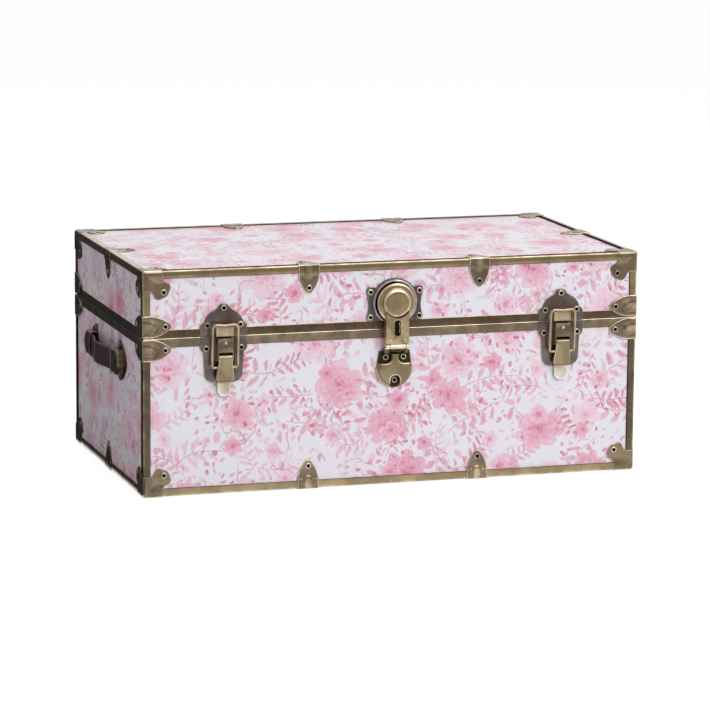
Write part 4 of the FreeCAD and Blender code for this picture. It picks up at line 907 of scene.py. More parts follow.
def bent(sharp: Array, low: float, radius: float) -> Array:
    """Pull points of a sharp corner onto its rounding.

    Each point is clamped to the inner corner and pushed out from it again by the radius.

    Args:
        sharp: Points of the sharp corner.
        low: Place of its faces along every axis.
        radius: Radius of the rounding.

    Returns:
        The rounded points.
    """
    inner = np.maximum(sharp, low + radius)
    away = sharp - inner
    return inner + away / np.linalg.norm(away, axis=-1, keepdims=True) * radius


def revolved(profile: Profile, steps: int) -> Shape:
    """A profile turned about the Y axis, with depth out along -Y.

    Args:
        profile: Radius, depth, and rubbing with painted light and shade, from the back to the front.
        steps: Segments round the axis.

    Returns:
        The turned surface.
    """
    radius, depth, wear_and_shading = np.array(profile).T[..., None]
    cosine, sine = circle(steps)
    points = np.stack(np.broadcast_arrays(radius * cosine, -depth, radius * sine), axis=-1)
    return Shape.grid(points, True, wear_and_shading)


def softened(loop: Array, radius: Row | float, steps: int = 4) -> Array:
    """Round the corners of a closed outline with short parabolas.

    Args:
        loop: Corner points in order.
        radius: Distance from each corner at which the rounding starts.
        steps: Points on each rounding.

    Returns:
        The rounded outline.
    """
    before = np.roll(loop, 1, axis=0) - loop
    after = np.roll(loop, -1, axis=0) - loop
    size = np.broadcast_to(np.asarray(radius, float), (len(loop),))[:, None]
    start = loop + before / np.linalg.norm(before, axis=1, keepdims=True) * size
    stop = loop + after / np.linalg.norm(after, axis=1, keepdims=True) * size
    t = np.linspace(0, 1, steps)[None, :, None]
    curve = (1 - t) ** 2 * start[:, None] + 2 * t * (1 - t) * loop[:, None] + t ** 2 * stop[:, None]
    return curve.reshape(-1, 2)


def carried(section: Array, stations: Row, wear_and_shading: Array | float = 0.0) -> Shape:
    """A closed section in X and Y carried straight along Z, with both ends closed to their middles."""
    rows = [np.column_stack([section, np.full(len(section), spot)]) for spot in stations]
    return Shape.closed(np.stack(rows), wear_and_shading)


@dataclass(frozen=True)
class Spots:
    """Points of a plate: X, Z and the distance from its edge."""

    x: Array
    z: Array
    depth: Array


def relief(
    outline: Array,
    heart: Two,
    rows: int,
    face: Callable[[Spots], Pair],
    back: float = 0.0,
) -> Shape:
    """A plate whose front is a height field over a fan, closed by its rolled edge and its flat back.

    Args:
        outline: Points of the edge in X and Z.
        heart: Point where the lines of the fan meet.
        rows: Rows from the border to the heart.
        face: Height, and rubbing with painted light and shade, at points of the plate.
        back: Depth of the flat back.

    Returns:
        The closed plate.
    """
    flat, depth = fan(outline, heart, Border.ROLL.insets, rows)
    height, wear_and_shading = face(Spots(flat[..., 0], flat[..., 1], depth))
    front = np.stack([flat[..., 0], -height, flat[..., 1]], axis=-1)
    rim = np.column_stack([outline[:, 0], np.full(len(outline), -back), outline[:, 1]])
    middle = np.broadcast_to([heart[0], -back, heart[1]], rim.shape)
    points = np.concatenate([middle[None], rim[None], front])
    # The plate's edge down to the wall is painted dark as shade.
    return Shape.grid(points, True, np.concatenate([np.full((2, len(outline)), -0.5), wear_and_shading]))


def rod(radius: float, start: float, stop: float, ease: float, wear_and_shading: float, steps: int = 28) -> Shape:
    """A round bar along X about the origin with eased ends.

    Args:
        radius: Its radius.
        start: Place of its left end.
        stop: Place of its right end.
        ease: Size of the chamfer at both ends.
        wear_and_shading: Its rubbing.
        steps: Segments round it.

    Returns:
        The closed bar.
    """
    spot = np.array([start, start + ease, stop - ease, stop])[:, None]
    size = np.array([radius - ease, radius, radius, radius - ease])[:, None]
    cosine, sine = circle(steps)
    rings = np.broadcast_arrays(spot, size * cosine, size * sine)
    return Shape.closed(np.stack(rings, axis=-1), wear_and_shading)


def tube(path: Array, normal: Row, radius: float, steps: int = 14) -> Shape:
    """A round wire along a flat path.

    Args:
        path: Points of its middle line, all in one plane.
        normal: Direction square to that plane.
        radius: Radius of the wire.
        steps: Segments round it.

    Returns:
        The closed wire.
    """
    way = np.gradient(path, axis=0)
    way /= np.linalg.norm(way, axis=1, keepdims=True)
    out = np.asarray(normal, float) / np.linalg.norm(normal)
    side = np.cross(way, out)[:, None]
    cosine, sine = (part[None, :, None] for part in circle(steps))
    return Shape.closed(path[:, None] + radius * (cosine * out + sine * side))


class Dresser:
    """Hands each new piece to the body and the CAD nodes that it stands for."""

    flat: float = math.radians(0.6)
    corner: float = math.radians(34)

    def __init__(self, frame: dict[str, Any]) -> None:
        """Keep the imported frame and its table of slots."""
        self.nodes: dict[str, Object] = frame["nodes"]
        self.slots = {row["node"]: row["material_slot"] for row in frame["record"]["subparts"]}

    def stand_in(self, piece: Object, node: str) -> None:
        """Let a new piece replace a CAD node.

        Args:
            piece: The new object.
            node: The node that it stands for.
        """
        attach(piece, self.nodes[node]["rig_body"])
        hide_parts(node)
        LOG.info("%s stands for %s with %d faces", piece.name, node, len(piece.data.polygons))

    def replace(
        self,
        node: str,
        shapes: Sequence[Shape],
        finishes: Sequence[Finish],
        sharp: float = CRISP,
        name: str = "",
    ) -> None:
        """Make one piece of surfaces and let it replace a CAD node."""
        piece = Shape.joined(shapes).mesh_object(name or f"{node}_dressed", finishes, sharp)
        self.stand_in(piece, node)

    def add_to(self, piece: Object, node: str) -> None:
        """Let a small piece ride with a node that something else stands for.

        Args:
            piece: The new object.
            node: The node that it rides with.
        """
        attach(piece, self.nodes[node]["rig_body"])
        LOG.info("%s is added to %s", piece.name, node)

    def paint(self, node: str, finish: Finish) -> None:
        """Give a CAD node that stays in view its finish.

        Args:
            node: The node.
            finish: Its finish.
        """
        mesh = self.nodes[node].data
        mesh.materials.clear()
        mesh.materials.append(finish.material)
        LOG.info("%s keeps its solid", node)

    def eased(
        self,
        node: str,
        finish: Finish,
        width: float,
        edge: Finish,
        formed: Callable[[Array], Array] | None = None,
    ) -> None:
        """A welded copy of a CAD node whose edges are rounded, with the rounding in a brighter finish:
        rubbing and a painted highlight.

        Args:
            node: The CAD node.
            finish: Finish of its faces.
            width: Width of the rounding in millimetres.
            edge: Finish of the rounded edges; a brighter one paints a highlight along them.
            formed: Change to the copy's points in millimetres.
        """
        mesh = self.nodes[node].data.copy()
        mesh.name = f"{node}_eased"
        work = bmesh.new()
        work.from_mesh(mesh)
        bmesh.ops.remove_doubles(work, verts=work.verts, dist=1e-6)
        bmesh.ops.dissolve_limit(work, angle_limit=self.flat, verts=work.verts, edges=work.edges)
        work.to_mesh(mesh)
        work.free()
        if formed:
            points = np.empty(len(mesh.vertices) * 3, np.float32)
            mesh.vertices.foreach_get("co", points)
            points = formed(points.reshape(-1, 3) / MM) * MM
            mesh.vertices.foreach_set("co", points.astype(np.float32).reshape(-1))
        mesh.materials.clear()
        mesh.materials.append(finish.material)
        mesh.materials.append(edge.material)
        mesh.polygons.foreach_set("material_index", np.zeros(len(mesh.polygons), np.int32))
        mesh.shade_smooth()
        piece = linked(bpy.data.objects.new(f"{node}_dressed", mesh))
        rounding = piece.modifiers.new("rounding", "BEVEL")
        rounding.width = width * MM
        rounding.segments = 2
        rounding.limit_method = "ANGLE"
        rounding.angle_limit = self.corner
        rounding.harden_normals = True
        rounding.material = 1
        self.stand_in(piece, node)


@dataclass(frozen=True)
class Carcass:
    """The covered box that every fitting is seated on."""

    half_x: float = 402.8
    half_y: float = 225.0
    floor: float = 3.6
    roof: float = 352.0
    split: float = 249.2
    rim_edge: float = 0.2
    rim_sheet: float = 1.0
    sheet: float = 0.8
    fold: float = 1.6
    map_shift: Two = (1300.0, 900.0)

    @property
    def corners(self) -> list[Two]:
        """The four upright corners, from the front left one round to the back left one."""
        x, y = self.half_x, self.half_y
        return [(-x, -y), (x, -y), (x, y), (-x, y)]

    def front(self, across: float = 0.0) -> Spot:
        """A place on the front at the height of the split."""
        return (across, -self.half_y, self.split)

    def wrapped(self, name: str, low: float, high: float, flat: float) -> Object:
        """The printed sheet of one shell: a band round the four walls and a flat sheet across them.

        The band is a function of the way round the box and of the height, and its map holds the same two
        lengths in metres, so that the print runs on round the corners.

        Args:
            name: Name of the piece.
            low: Lower edge of the walls.
            high: Upper edge of the walls.
            flat: Height of the flat sheet.

        Returns:
            The sheet as one object.
        """
        loop = softened(np.array(self.corners), self.fold)
        loop = np.concatenate([loop, loop[:1]])
        way = np.concatenate([[0], np.cumsum(np.linalg.norm(np.diff(loop, axis=0), axis=1))])
        heights = np.linspace(low, high, 5)
        band = np.stack([np.column_stack([loop, np.full(len(loop), z)]) for z in heights])
        band_map = np.stack(np.broadcast_arrays(way[None, :], heights[:, None]), axis=-1)
        across = np.linspace(-1, 1, 9)
        x, y = np.meshgrid(across * self.half_x, across * self.half_y)
        lid = np.stack([x, y, np.full_like(x, flat)], axis=-1)
        lid_map = np.stack([x + self.map_shift[0], y + self.map_shift[1] + flat], axis=-1)
        if flat < self.split:
            lid = lid[::-1]
            lid_map = lid_map[::-1]
        first = grid_faces(*band.shape[:2], False)
        second = grid_faces(*lid.shape[:2], False) + band.shape[0] * band.shape[1]
        points = np.concatenate([band.reshape(-1, 3), lid.reshape(-1, 3)])
        spots = np.concatenate([band_map.reshape(-1, 2), lid_map.reshape(-1, 2)])
        mesh = bpy.data.meshes.new(name)
        mesh.from_pydata((points * MM).tolist(), [], np.concatenate([first, second]).tolist())
        layer = mesh.uv_layers.new(name="sheet")
        corner_of = np.zeros(len(mesh.loops), np.int32)
        mesh.loops.foreach_get("vertex_index", corner_of)
        layer.data.foreach_set("uv", (spots[corner_of] * MM).astype(np.float32).ravel())
        mesh.materials.append(Finish.PRINT.material)
        piece = linked(bpy.data.objects.new(name, mesh))
        wall = piece.modifiers.new("sheet", "SOLIDIFY")
        wall.thickness = self.sheet * MM
        wall.offset = -1.0
        return piece

    def dress(self, dresser: Dresser) -> None:
        """Cover both shells, line them and give the boards their grain.

        Args:
            dresser: What takes the pieces.
        """
        edge = self.rim_edge + self.rim_sheet
        base = self.wrapped("base_print", self.floor, self.split - edge, self.floor)
        dresser.stand_in(base, "base_covering")
        lid = self.wrapped("lid_print", self.split + edge, self.roof, self.roof)
        dresser.stand_in(lid, "lid_covering")
        for node in dresser.nodes:
            if node.endswith("_panel"):
                dresser.paint(node, Finish.PLY)
            elif node.endswith("_lining"):
                dresser.paint(node, Finish.PAPER)


@dataclass(frozen=True)
class Fitting:
    """What is seated on the box; it knows the box, the dresser and the rivets."""

    box: Carcass
    dresser: Dresser
    heads: Rivets

    def dress(self) -> None:
        """Make the fitting's pieces and hand them to the dresser."""
        raise NotImplementedError

    def rivets(self) -> None:
        """Seat the fitting's rivets, if it has any."""


@dataclass(frozen=True)
class EdgeTrims(Fitting):
    """Angle strips along every edge, with a crowned flange and rolled borders.

    Columns of a strip's section are counted from the border of its first flange round to the second.
    """

    flange: float = 10.3
    thick: float = 2.4
    crown: float = 0.35
    roll: float = 0.9
    roll_share: float = 0.08
    # Painted highlight on the rounded bend.
    bend_highlight: float = 0.45
    gap: float = 16.0
    base_rim: float = 14.7
    lid_rim: float = 12.7
    # Columns in other finishes: a dark line of painted shade along the front and right tops, and a pale
    # strip of painted reflection along the left top.
    front_shade_line: tuple[int, int] = (15, 23)
    right_shade_line: tuple[int, int] = (0, 5)
    left_reflection: tuple[int, int] = (0, 9)
    # The bottom strips take a lighter brass as painted light from the floor, the base's posts a darker one
    # as painted shade.
    finishes: dict[str, Finish] = field(default_factory=lambda: {
        "base_bottom_trims": Finish.FOOT, "base_corner_trims": Finish.POST,
    })

    def section(self, borders: Two) -> Pair:
        """The strip's outline: two crowned flanges with rolled borders, joined by a rounded bend.

        Args:
            borders: Share of each flange, from its border in, that is painted dark as shade.

        Returns:
            Its points in X and Y, and the rubbing and painted light and shade of each.
        """
        flange, level = self.flange, self.thick - self.crown
        share = np.array([0.0, 0.03, 0.08, 0.15, 0.25, 0.4, 0.55, 0.7, 0.85, 1.0])
        roll = self.roll * np.clip(1 - share / self.roll_share, 0.0, 1.0) ** 2
        out = level + self.crown * 4 * share * (1 - share) - roll
        under = np.column_stack([flange * (1 - share), -out])
        angle = np.linspace(-math.pi / 2, -math.pi, 7)[1:-1]
        bend = level * np.column_stack([np.cos(angle), np.sin(angle)])
        inside = np.array([[0.0, flange], [0.0, 0.0], [flange, 0.0]])
        loop = np.concatenate([under, bend, under[::-1, ::-1], inside])
        # Painted shade along each flange's free border, and a painted highlight towards the bend.
        first, second = (
            0.5 * soft_step(share, 0.8, 1.0) + soft_step(share, border * 0.6, border) - 1
            for border in borders
        )
        middle = np.full(len(bend), self.bend_highlight)
        return loop, np.concatenate([first, middle, second[::-1], np.zeros(len(inside))])

    def strip(
        self, length: float, borders: Two = (0.1, 0.1), columns: tuple[int, int] = (0, 0), slot: int = 1
    ) -> Shape:
        """One strip of a length, standing along Z.

        Args:
            length: Its length.
            borders: Share of each flange that is painted dark as shade.
            columns: First column of the section that takes another finish, and the one after the last.
            slot: Slot of that finish.

        Returns:
            The strip.
        """
        loop, wear_and_shading = self.section(borders)
        shape = carried(loop, np.linspace(0, length, 9), wear_and_shading)
        shape.slots.reshape(-1, len(loop))[:, slice(*columns)] = slot
        return shape

    def dress(self) -> None:
        """Lay the strips along the bottom, the top and the upright edges."""
        box = self.box
        x, y = box.half_x, box.half_y
        end_x, end_y = x - self.gap, y - self.gap
        long_strip, short_strip = self.strip(2 * end_x), self.strip(2 * end_y)
        long_top = self.strip(2 * end_x, columns=self.front_shade_line)
        short_top = self.strip(2 * end_y, (0.15, 0.1), self.right_shade_line)
        reflected_top = self.strip(2 * end_y, (0.02, 0.1), self.left_reflection, 2)
        rows = {
            "base_bottom_trims": [
                long_strip.moved(FRONT_BOTTOM, (end_x, -y, box.floor)),
                long_strip.moved(BACK @ FRONT_BOTTOM, (-end_x, y, box.floor)),
                short_strip.moved(LEFT_BOTTOM, (-x, end_y, box.floor)),
                short_strip.moved(BACK @ LEFT_BOTTOM, (x, -end_y, box.floor)),
            ],
            "lid_top_trims": [
                long_top.moved(FRONT_TOP, (-end_x, -y, box.roof)),
                long_strip.moved(BACK @ FRONT_TOP, (end_x, y, box.roof)),
                reflected_top.moved(LEFT_TOP, (-x, -end_y, box.roof)),
                short_top.moved(BACK @ LEFT_TOP, (x, end_y, box.roof)),
            ],
        }
        spans = {
            "base_corner_trims": (box.floor + self.gap, box.split - self.base_rim),
            "lid_corner_trims": (box.split + self.lid_rim, box.roof - self.gap),
        }
        for node, (low, high) in spans.items():
            post = self.strip(high - low)
            rows[node] = [post.moved(turn, (*spot, low)) for spot, turn in zip(box.corners, QUARTERS)]
        for node, strips in rows.items():
            finishes = [self.finishes.get(node, Finish.EDGE), Finish.HOLLOW, Finish.PALE]
            self.dresser.replace(node, strips, finishes)


@dataclass(frozen=True)
class Rims(Fitting):
    """Formed rails round the mouths of the base and the lid."""

    wall: float = 9.8
    sheet: float = 1.0
    swell: float = 0.8
    inner_flange: float = 10.0
    base_height: float = 14.5
    lid_height: float = 12.5
    lip_height: float = 6.0
    lip_clearance: float = 0.5
    lip_back_gap: float = 40.0
    sharp: float = 50.0

    def section(self, sign: int, height: float) -> Pair:
        """Outline of a rail in depth and height: swollen outer flange, web and inner flange.

        Args:
            sign: One for the lid, minus one for the base.
            height: Height of the outer flange.

        Returns:
            Its points and the painted light and shade of each.
        """
        edge = self.box.rim_edge
        proud = self.sheet + self.swell
        inner = self.wall + self.sheet
        corners = np.array([
            [0.0, edge + height],
            [-self.sheet, edge + height],
            [-self.sheet - 0.1, edge + height - 1.2],
            [-proud, edge + 1.6],
            [-proud + 0.5, edge],
            [inner, edge],
            [inner, edge + self.inner_flange],
            [self.wall, edge + self.inner_flange],
            [self.wall, edge + self.sheet],
            [0.0, edge + self.sheet],
        ])
        # Painted light and shade: each rail is lighter along its top edge and darker along its lower edge.
        split_side, far_side = (1.0, -0.7) if sign < 0 else (-0.9, 0.9)
        rub_and_shading = [far_side, far_side, 0.0, split_side * 0.3, split_side, 0.2, 0.0, 0.0, 0.0, 0.0]
        loop = softened(corners, [0.2, 0.4, 0.5, 0.9, 0.6, 0.45, 0.4, 0.4, 0.3, 0.3])
        loop[:, 1] *= sign
        return loop, np.repeat(rub_and_shading, len(loop) // len(corners))

    def rail(self, half_length: float, sign: int, height: float) -> Shape:
        """A straight rail along X, its wall face at depth nought."""
        loop, wear_and_shading = self.section(sign, height)
        return carried(loop, np.linspace(-half_length, half_length, 9), wear_and_shading).along_x()

    def lip(self, start: float, stop: float) -> Shape:
        """The dust lip that stands inside a base rail.

        Args:
            start: Place of its left end.
            stop: Place of its right end.

        Returns:
            The closed lip.
        """
        inner = self.wall + self.sheet
        out = inner + self.lip_clearance
        edge = -self.box.rim_edge
        corners = np.array([
            [inner, edge - self.sheet],
            [out + self.sheet, edge - self.sheet],
            [out + self.sheet, edge + self.lip_height],
            [out, edge + self.lip_height],
            [out, edge],
            [inner, edge],
        ])
        return carried(softened(corners, 0.2, 3), np.linspace(start, stop, 5), 0.3).along_x()

    def dress(self) -> None:
        """Lay four rails on each shell and the lip on the base's front and ends."""
        box = self.box
        x, y, z = box.half_x, box.half_y, box.split
        room = self.wall + self.sheet + self.lip_clearance
        end_half = y - room - self.sheet
        lip_half = x - room
        lip_end = end_half - self.lip_back_gap
        front, back = (STRAIGHT, (0, -y, z)), (BACK, (0, y, z))
        left, right = (LEFT, (-x, 0, z)), (RIGHT, (x, 0, z))
        rims = (
            ("base_rim", -1, self.base_height, Finish.RIM),
            ("lid_rim", 1, self.lid_height, Finish.LID_RIM),
        )
        for node, sign, height, finish in rims:
            long_rail = self.rail(x, sign, height)
            short_rail = self.rail(end_half, sign, height)
            rows = [(long_rail, front), (long_rail, back), (short_rail, left), (short_rail, right)]
            if sign < 0:
                rows += [
                    (self.lip(-lip_half, lip_half), front),
                    (self.lip(-lip_end, end_half), left),
                    (self.lip(-end_half, lip_end), right),
                ]
            shapes = [shape.moved(*place) for shape, place in rows]
            self.dresser.replace(node, shapes, [finish], self.sharp)


class Border(Enum):
    """Rolled borders of pressed plates: distance in from the edge, lift, and rubbing with painted light
    and shade.
    """

    # A bead takes a painted highlight on its crest and painted shade at the edge and in the dip behind it.
    BEAD = (
        (0.0, -1.1, -0.2), (0.12, -0.5, 0.3), (0.5, 0.0, 0.9), (1.1, 0.3, 1.0), (1.8, 0.15, 0.4),
        (2.5, -0.15, -0.3), (3.6, -0.1, -0.2), (5.0, 0.0, 0.0),
    )
    # A roll is painted dark at its edge and light where it turns up.
    ROLL = (
        (0.0, -1.2, -0.5), (0.12, -0.65, -0.1), (0.45, -0.25, 0.45), (1.0, -0.05, 0.4), (1.8, 0.0, 0.1),
        (2.8, 0.0, 0.0),
    )

    @property
    def insets(self) -> list[float]:
        """The distances in from the edge."""
        return [row[0] for row in self.value]

    def at(self, depth: Array) -> Pair:
        """Lift, and rubbing with painted light and shade, by the distance in from the edge."""
        inset, lift, wear_and_shading = np.array(self.value).T
        return np.interp(depth, inset, lift), np.interp(depth, inset, wear_and_shading)


@dataclass(frozen=True)
class CornerCaps(Fitting):
    """Eight pressed caps, each of three leaves with a lobed ear."""

    proud: float = 3.6
    edge_round: float = 5.6
    leaf: float = 29.4
    root: float = 10.3
    slope: Two = (5.0, 18.0)
    ear: float = 1.8
    rivet: float = 31.2
    rows: int = 26
    pitch: float = 1.6

    def outline(self) -> Array:
        """The free edge of a leaf, from one box edge round its ear to the other.

        Returns:
            Its points along the two edges of the box.
        """
        low, leaf, root = -self.proud, self.leaf, self.root
        return traced([
            (leaf, low),
            (leaf, root),
            (32.8, 15.0, 38.0, 17.6),
            (42.4, 21.6, 42.2, 27.2),
            (39.8, 33.2),
            (37.2, 37.2, 33.2, 39.8),
            (27.2, 42.2),
            (21.6, 42.4, 17.6, 38.0),
            (15.0, 32.8, root, leaf),
            (low, leaf),
        ], self.pitch, closed=False)

    def leaf_grid(self, axis: int) -> Shape:
        """One leaf: a fan from the cap's corner to the free edge, lifted over the trims.

        Args:
            axis: The coordinate that the leaf faces along.

        Returns:
            The leaf with its underside.
        """
        low = -self.proud
        edge = self.outline()
        flat, depth = fan(edge, (low, low), Border.ROLL.insets, self.rows)
        nearest = flat.min(axis=-1)
        level = self.proud - (self.proud - self.ear) * soft_step(nearest, *self.slope)
        lift, wear_and_shading = Border.ROLL.at(depth)
        # Painted highlight along the rounding over the box's edges.
        wear_and_shading = np.maximum(wear_and_shading, 0.95 * (1 - soft_step(nearest, low + 0.4, low + 3.2)))
        points = bent(np.insert(flat, axis, low, axis=-1), low, self.edge_round)
        points[..., axis] += self.proud - level - lift
        under = np.insert(np.maximum(edge, 0.0), axis, 0.0, axis=-1)
        points = np.concatenate([np.zeros_like(under)[None], under[None], points])
        wear_and_shading = np.concatenate([np.zeros((2, len(edge))), wear_and_shading])
        return Shape.grid(points, False, wear_and_shading)

    def placed(self) -> list[tuple[str, str, Array, Spot]]:
        """Where the caps go.

        Returns:
            Shell, corner, turn and place of each cap.
        """
        names = ("front_left", "front_right", "back_right", "back_left")
        rows = []
        for name, (x, y), turn in zip(names, self.box.corners, QUARTERS):
            rows.append(("base", name, turn, (x, y, self.box.floor)))
            rows.append(("lid", name, turn @ UPSIDE_DOWN, (x, y, self.box.roof)))
        return rows

    def rivets(self) -> None:
        """Seat three rivets on each cap."""
        for shell, _, turn, place in self.placed():
            for axis in range(3):
                seat = np.insert(np.array([self.rivet, self.rivet]), axis, -self.ear)
                self.heads.seat(shell, turn @ seat + place, -turn[:, axis])

    def dress(self) -> None:
        """Put a cap on each corner."""
        cap = Shape.joined([self.leaf_grid(axis) for axis in (1, 0, 2)])
        for shell, name, turn, place in self.placed():
            self.dresser.replace(f"{shell}_{name}_cap", [cap.moved(turn, place)], [Finish.CAP], SMOOTH)


@dataclass(frozen=True)
class WrapClips(Fitting):
    """Bullet-shaped clips bent round the edges, and the clamps beside the split."""

    half: float = 17.2
    straight: float = 13.0
    reach: float = 43.6
    tip_back: float = 3.2
    tip_half: float = 5.2
    root_thick: float = 3.2
    bend: float = 2.2
    step: Two = (10.5, 15.0)
    clip_tip: float = 1.8
    clamp_tip: float = 2.8
    tongue_half: float = 9.2
    tongue_root: float = 10.5
    tongue_level: float = 3.5
    groove: float = 0.6
    rivet: float = 33.6
    clip_x: float = 139.5
    from_split: float = 18.3
    rows: int = 26
    pitch: float = 1.6

    def outline(self) -> Array:
        """The free edge of a leg, from one end of the bend round its tip to the other.

        Returns:
            Its points along the leg and across it.
        """
        low, half = -self.root_thick, self.half
        tip = self.reach - self.tip_back
        side_x = (self.straight + tip) / 2 + self.tip_half / 4
        side_z = (half + self.tip_half) / 2 + self.tip_half / 3
        return traced([
            (low, -half),
            (self.straight, -half),
            (side_x, -side_z, tip, -self.tip_half),
            (self.reach, 0.0, tip, self.tip_half),
            (side_x, side_z, self.straight, half),
            (low, half),
        ], self.pitch, closed=False)

    def leg(self, swap: bool, tip: float) -> Shape:
        """One leg: a fan from the middle of the bend, stepped down past the trim, with a domed tongue.

        Args:
            swap: Whether it is the second leg, which faces along -X.
            tip: Thickness at the tip.

        Returns:
            The leg with its underside.
        """
        low = -self.root_thick
        edge = self.outline()
        flat, depth = fan(edge, (low, 0.0), Border.BEAD.insets, self.rows)
        run, across = flat[..., 0], flat[..., 1]
        level = self.root_thick - (self.root_thick - tip) * soft_step(run, *self.step)
        inside = self.tongue_half - np.hypot(np.maximum(run - self.tongue_root, 0.0), across)
        low_end = 0.25 + 0.75 * soft_step(run, 6.0, 14.0)
        groove = np.exp(-((inside + 0.8) / 1.5) ** 2) * low_end
        # Painted shadow along the tongue's edge, strongest towards the tip.
        shade = np.exp(-((inside - 0.8) / 2.1) ** 2) * low_end
        dome = soft_step(inside, 0.0, 5.0) * soft_step(run, low, 3.0)
        level = level + (self.tongue_level - level) * dome - self.groove * groove
        lift, wear_and_shading = Border.BEAD.at(depth)
        # Painted highlight on the tongue, less its painted shadow.
        wear_and_shading = np.maximum(wear_and_shading, 0.5 * soft_step(inside, 1.0, 6.0)) - 0.9 * shade
        # Painted highlight along the bend.
        wear_and_shading = np.maximum(wear_and_shading, 0.85 * (1 - soft_step(run, low, low + 2.4)))
        side = bent(np.stack([run, np.full_like(run, low)], axis=-1), low, self.bend)
        side[..., 1] += (self.root_thick - level - lift) * soft_step(run, low, low + 2.0)
        under = np.column_stack([np.maximum(edge[:, 0], 0.0), np.zeros(len(edge)), edge[:, 1]])
        points = np.concatenate([side, across[..., None]], axis=-1)
        points = np.concatenate([np.zeros_like(under)[None], under[None], points])
        if swap:
            points = points[..., [1, 0, 2]]
        wear_and_shading = np.concatenate([np.zeros((2, len(edge))), wear_and_shading])
        return Shape.grid(points, False, wear_and_shading)

    def clip(self, tip: float) -> Shape:
        """A clip for an edge along Z, its two legs on the faces towards -Y and -X."""
        return Shape.joined([self.leg(False, tip), self.leg(True, tip)])

    def places(self, shell: str) -> tuple[list[Seat], list[Seat]]:
        """Where the clips along the top or the bottom go, and the clamps beside the split.

        Args:
            shell: "base" or "lid".

        Returns:
            Turn and place of each clip, and those of each clamp.
        """
        box = self.box
        x, y = box.half_x, box.half_y
        sign, flip, z, front, left = (1, UPSIDE_DOWN, box.roof, FRONT_TOP, LEFT_TOP)
        if shell == "base":
            sign, flip, z, front, left = (-1, STRAIGHT, box.floor, FRONT_BOTTOM, LEFT_BOTTOM)
        clips = [(front, (side * self.clip_x, -y, z)) for side in (-1, 1)]
        clips += [(BACK @ front, (side * self.clip_x, y, z)) for side in (-1, 1)]
        clips += [(left, (-x, 0.0, z)), (BACK @ left, (x, 0.0, z))]
        height = box.split + sign * self.from_split
        return clips, [(turn @ flip, (*spot, height)) for spot, turn in zip(box.corners, QUARTERS)]

    def rivets(self) -> None:
        """Seat two rivets on each clip and clamp."""
        for shell in ("base", "lid"):
            for tip, places in zip((self.clip_tip, self.clamp_tip), self.places(shell)):
                for turn, place in places:
                    for axis, spot in ((1, (self.rivet, -tip, 0.0)), (0, (-tip, self.rivet, 0.0))):
                        self.heads.seat(shell, turn @ np.array(spot) + place, -turn[:, axis])

    def dress(self) -> None:
        """Put the clips and the clamps on both shells."""
        kinds = (("edge_clips", self.clip(self.clip_tip)), ("rim_clamps", self.clip(self.clamp_tip)))
        for shell in ("base", "lid"):
            for (kind, master), places in zip(kinds, self.places(shell)):
                shapes = [master.moved(*place) for place in places]
                self.dresser.replace(f"{shell}_{kind}", shapes, [Finish.CAP], SMOOTH)


@dataclass
class Rivets:
    """Tubular rivets: a domed ring with a painted highlight on its crest and a bore of painted shade,
    seated all over the fittings.
    """

    seats: dict[str, list[Pair]] = field(default_factory=lambda: {"base": [], "lid": []})
    # The ring's rubbing, from outside in: painted shade at its foot, a painted highlight on its crest,
    # painted shade towards the bore.
    ring: Profile = (
        (4.9, 0.0, -0.6), (4.9, 0.45, -0.3), (4.65, 1.0, 0.05), (4.2, 1.4, 0.55), (3.6, 1.56, 0.65),
        (3.1, 1.38, 0.2), (2.8, 0.9, -0.8),
    )
    bore: Profile = ((2.8, 0.9, 0.0), (2.7, 0.15, 0.0), (0.0, 0.1, 0.0))
    steps: int = 18

    def seat(self, shell: str, place: Array, outward: Array) -> None:
        """Note one rivet by its shell, the middle of its seat and the direction that it faces."""
        self.seats[shell].append((np.asarray(place, float), np.asarray(outward, float)))

    def wall(self, shell: str, turn: Array, offset: Row, rows: Rows) -> None:
        """Note rivets on a wall.

        Args:
            shell: "base" or "lid".
            turn: Turn of the wall.
            offset: Place of its middle.
            rows: Place across, depth and height of each rivet.
        """
        for across, depth, height in rows:
            spot = turn @ np.array([across, -depth, height]) + np.asarray(offset, float)
            self.seat(shell, spot, -turn[:, 1])

    def dress(self, dresser: Dresser) -> None:
        """Make one piece of all the rivets of each shell.

        Args:
            dresser: What takes the pieces.
        """
        bore = revolved(self.bore, self.steps).in_slot(1)
        head = Shape.joined([revolved(self.ring, self.steps), bore])
        for shell, rows in self.seats.items():
            shapes = []
            for place, outward in rows:
                turn = np.array(Vector((0, -1, 0)).rotation_difference(Vector(outward)).to_matrix())
                shapes.append(head.moved(turn, place))
            dresser.replace(f"{shell}_rivets", shapes, [Finish.RIVET, Finish.HOLLOW])


